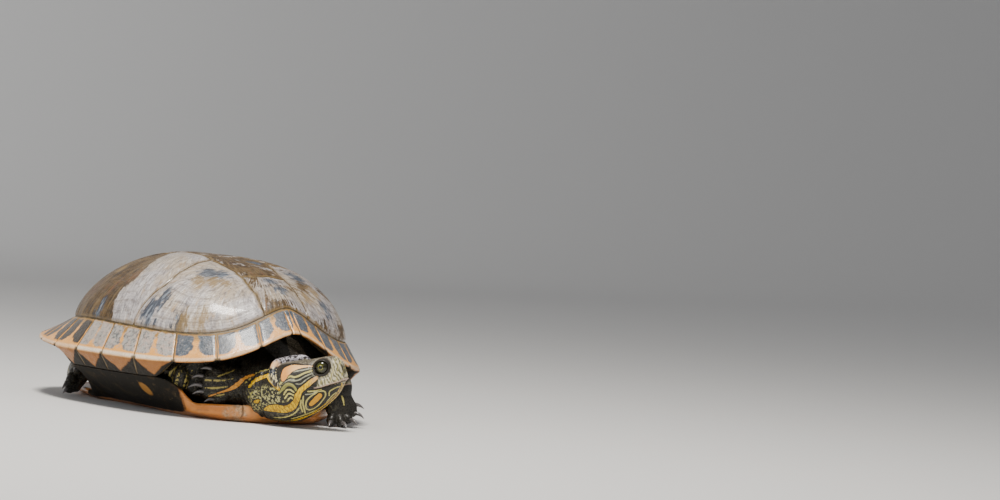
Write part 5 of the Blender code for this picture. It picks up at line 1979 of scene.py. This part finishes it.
# %% Eyes
def eye_material():
    p = Paint("slider_eye")
    ahead, up = p.value("iris_ahead"), p.value("iris_up")
    far = (ahead * ahead + up * up).power(0.5)
    grain = p.noise(0.35, 3, 0.6)
    iris = p.blend(grain, (0.018, 0.020, 0.004), (0.085, 0.082, 0.014))
    mottled = p.rise(far + grain - 0.5, 2.3, 3.1)
    color = p.blend(mottled, iris, p.blend(grain, (0.008, 0.008, 0.004), (0.032, 0.032, 0.010)))
    bar = p.below(up.size() + (grain - 0.5) * 0.25, 0.45, 0.8) * p.rise(far, 1.2, 1.6)
    color = p.blend(bar * 0.92, color, (0.012, 0.010, 0.006))
    ring = p.within(far, 1.30, 1.62, 0.1)
    color = p.blend(ring * (1 - bar), color, (0.36, 0.33, 0.045))
    pupil = p.below(far, 1.18, 1.36)
    color = p.blend(pupil, color, (0.002, 0.002, 0.002))
    return p.finish(color, 0.08, None, Coat_Weight=0.5, Coat_Roughness=0.02,
                    Specular_IOR_Level=0.4)


slider_eye = eye_material()
for word in ("left", "right"):
    grid, tables = eye_grid("eye_" + word)
    tables = {key: [table] for key, table in tables.items()}
    show(mesh_from_grids("eyeball_" + word, [grid], tables, True), ["eye_" + word],
         slider_eye)


# %% Claws
def claw_material():
    p = Paint("claw_horn")
    along = p.value("claw_along")
    streak = p.noise(1.0, 3)
    color = p.blend(along, (0.030, 0.026, 0.024), (0.21, 0.195, 0.195))
    color = p.blend(streak * 0.45, color, (0.085, 0.078, 0.076))
    return p.finish(color, 0.28, streak * 0.08, 0.6, Coat_Weight=0.3, Coat_Roughness=0.1)


claw_horn = claw_material()
for foot, parts in FEET.items():
    grids = [claw_grid(end, tip) for (root, end), tip in zip(parts["digits"], parts["tips"])]
    along = [np.linspace(0, 1, grid.shape[0])[:, None] + 0 * grid[..., 0] for grid in grids]
    nodes = [f"claw_{foot}_{number}" for number in range(1, len(grids) + 1)]
    show(mesh_from_grids("claws_" + foot, grids, {"claw_along": along}, True), nodes,
         claw_horn)

# %% [markdown]
# ## The studio
# The model lies on a pale sweep: a floor that curves up far behind it, so that no line
# crosses the picture. A fairly small warm lamp from above and in front gives the wet horn
# its sheen, a weak cool one fills the side, a third lights the sweep behind, and a pale
# sky lifts the shadows.

# %% The sweep
AZIMUTH = -29.65            # where the camera stands, in degrees from straight ahead
SWEEP_HALF_WIDTH = 9
SWEEP_FRONT, SWEEP_TURN, SWEEP_TOP = -6, 4.0, 8
SWEEP_RADIUS = 2.5


def sweep():
    """A strip of floor, a quarter of a circle and a wall, turned to face the camera."""
    bm = bmesh.new()
    profile = [(SWEEP_FRONT, 0), (SWEEP_TURN, 0)]
    for a in np.radians(np.arange(6, 91, 6)):
        profile.append((SWEEP_TURN + SWEEP_RADIUS * math.sin(a), SWEEP_RADIUS * (1 - math.cos(a))))
    profile.append((SWEEP_TURN + SWEEP_RADIUS, SWEEP_TOP))
    rail = [bm.verts.new((-SWEEP_HALF_WIDTH, y, z)) for y, z in profile]
    edges = [bm.edges.new(pair) for pair in zip(rail[:-1], rail[1:])]
    made = bmesh.ops.extrude_edge_only(bm, edges=edges)["geom"]
    far_side = [v for v in made if isinstance(v, bmesh.types.BMVert)]
    bmesh.ops.translate(bm, vec=(2 * SWEEP_HALF_WIDTH, 0, 0), verts=far_side)
    turn = Matrix.Rotation(math.radians(AZIMUTH), 3, "Z")
    bmesh.ops.rotate(bm, cent=(0, 0, 0), matrix=turn, verts=bm.verts[:])
    bmesh.ops.recalc_face_normals(bm, faces=bm.faces[:])
    mesh = mesh_from(bm, "sweep")
    mesh.shade_smooth()
    mesh.materials.append(Paint("pale_floor").finish((0.74, 0.73, 0.71), 0.7))
    add_object("sweep", mesh)


# %% The lights
def area_light(name, place, aim, size, power, color=(1, 1, 1)):
    light = bpy.data.lights.new(name, "AREA")
    light.energy = power
    light.size = size
    light.color = color
    obj = add_object(name, light)
    obj.location = place
    obj.rotation_euler = (Vector(aim) - Vector(place)).to_track_quat("-Z", "Y").to_euler()


sweep()
area_light("key", (-0.38, -0.42, 1.35), (0, -0.04, 0.05), 0.32, 30, (1.0, 0.96, 0.90))
area_light("side", (-1.5, -0.9, 0.7), (0, 0, 0.05), 0.6, 6, (0.94, 0.97, 1.0))
area_light("backdrop", (-1.5, 2.6, 3.2), (-2.8, 5.2, 1.6), 2.0, 250)
world = bpy.data.worlds.new("studio")
world.use_nodes = True
background = world.node_tree.nodes["Background"]
background.inputs["Color"].default_value = (0.93, 0.95, 1.0, 1)
background.inputs["Strength"].default_value = 0.30
bpy.context.scene.world = world
print("lamps:", [light.name for light in bpy.data.lights])

# %% [markdown]
# ## The camera
# The camera stands low, a little above the floor, and looks at the animal from its right
# front corner. It aims beside and above the animal, which leaves it low on the left of
# the frame, and it leans a few degrees, as a hand-held camera does.

# %% Camera
ELEVATION, LEAN = 3.96, 4.71        # in degrees
DISTANCE = 2.5
AIM_RIGHT, AIM_UP = 0.205, 0.1057   # where it aims, beside and above the origin
LENS, SENSOR = 134.3, 36            # in millimetres


def place_camera():
    a, e, lean = (math.radians(value) for value in (AZIMUTH, ELEVATION, LEAN))
    back = np.array([math.sin(a) * math.cos(e), -math.cos(a) * math.cos(e), math.sin(e)])
    level_right = np.array([math.cos(a), math.sin(a), 0])
    level_up = np.cross(back, level_right)
    leant_right = level_right * math.cos(lean) + level_up * math.sin(lean)
    leant_up = level_up * math.cos(lean) - level_right * math.sin(lean)
    stand = back * DISTANCE
    forward = unit(leant_right * AIM_RIGHT + leant_up * AIM_UP - stand)
    right = unit(np.cross(forward, leant_up))
    axes = Matrix((right, np.cross(right, forward), -forward)).transposed().to_4x4()
    data = bpy.data.cameras.new("camera")
    data.lens = LENS
    data.sensor_width = SENSOR
    camera = add_object("camera", data)
    camera.matrix_world = Matrix.Translation(Vector(stand)) @ axes
    bpy.context.scene.camera = camera
    return camera


print("camera height:", round(place_camera().matrix_world.translation.z, 3), "m")
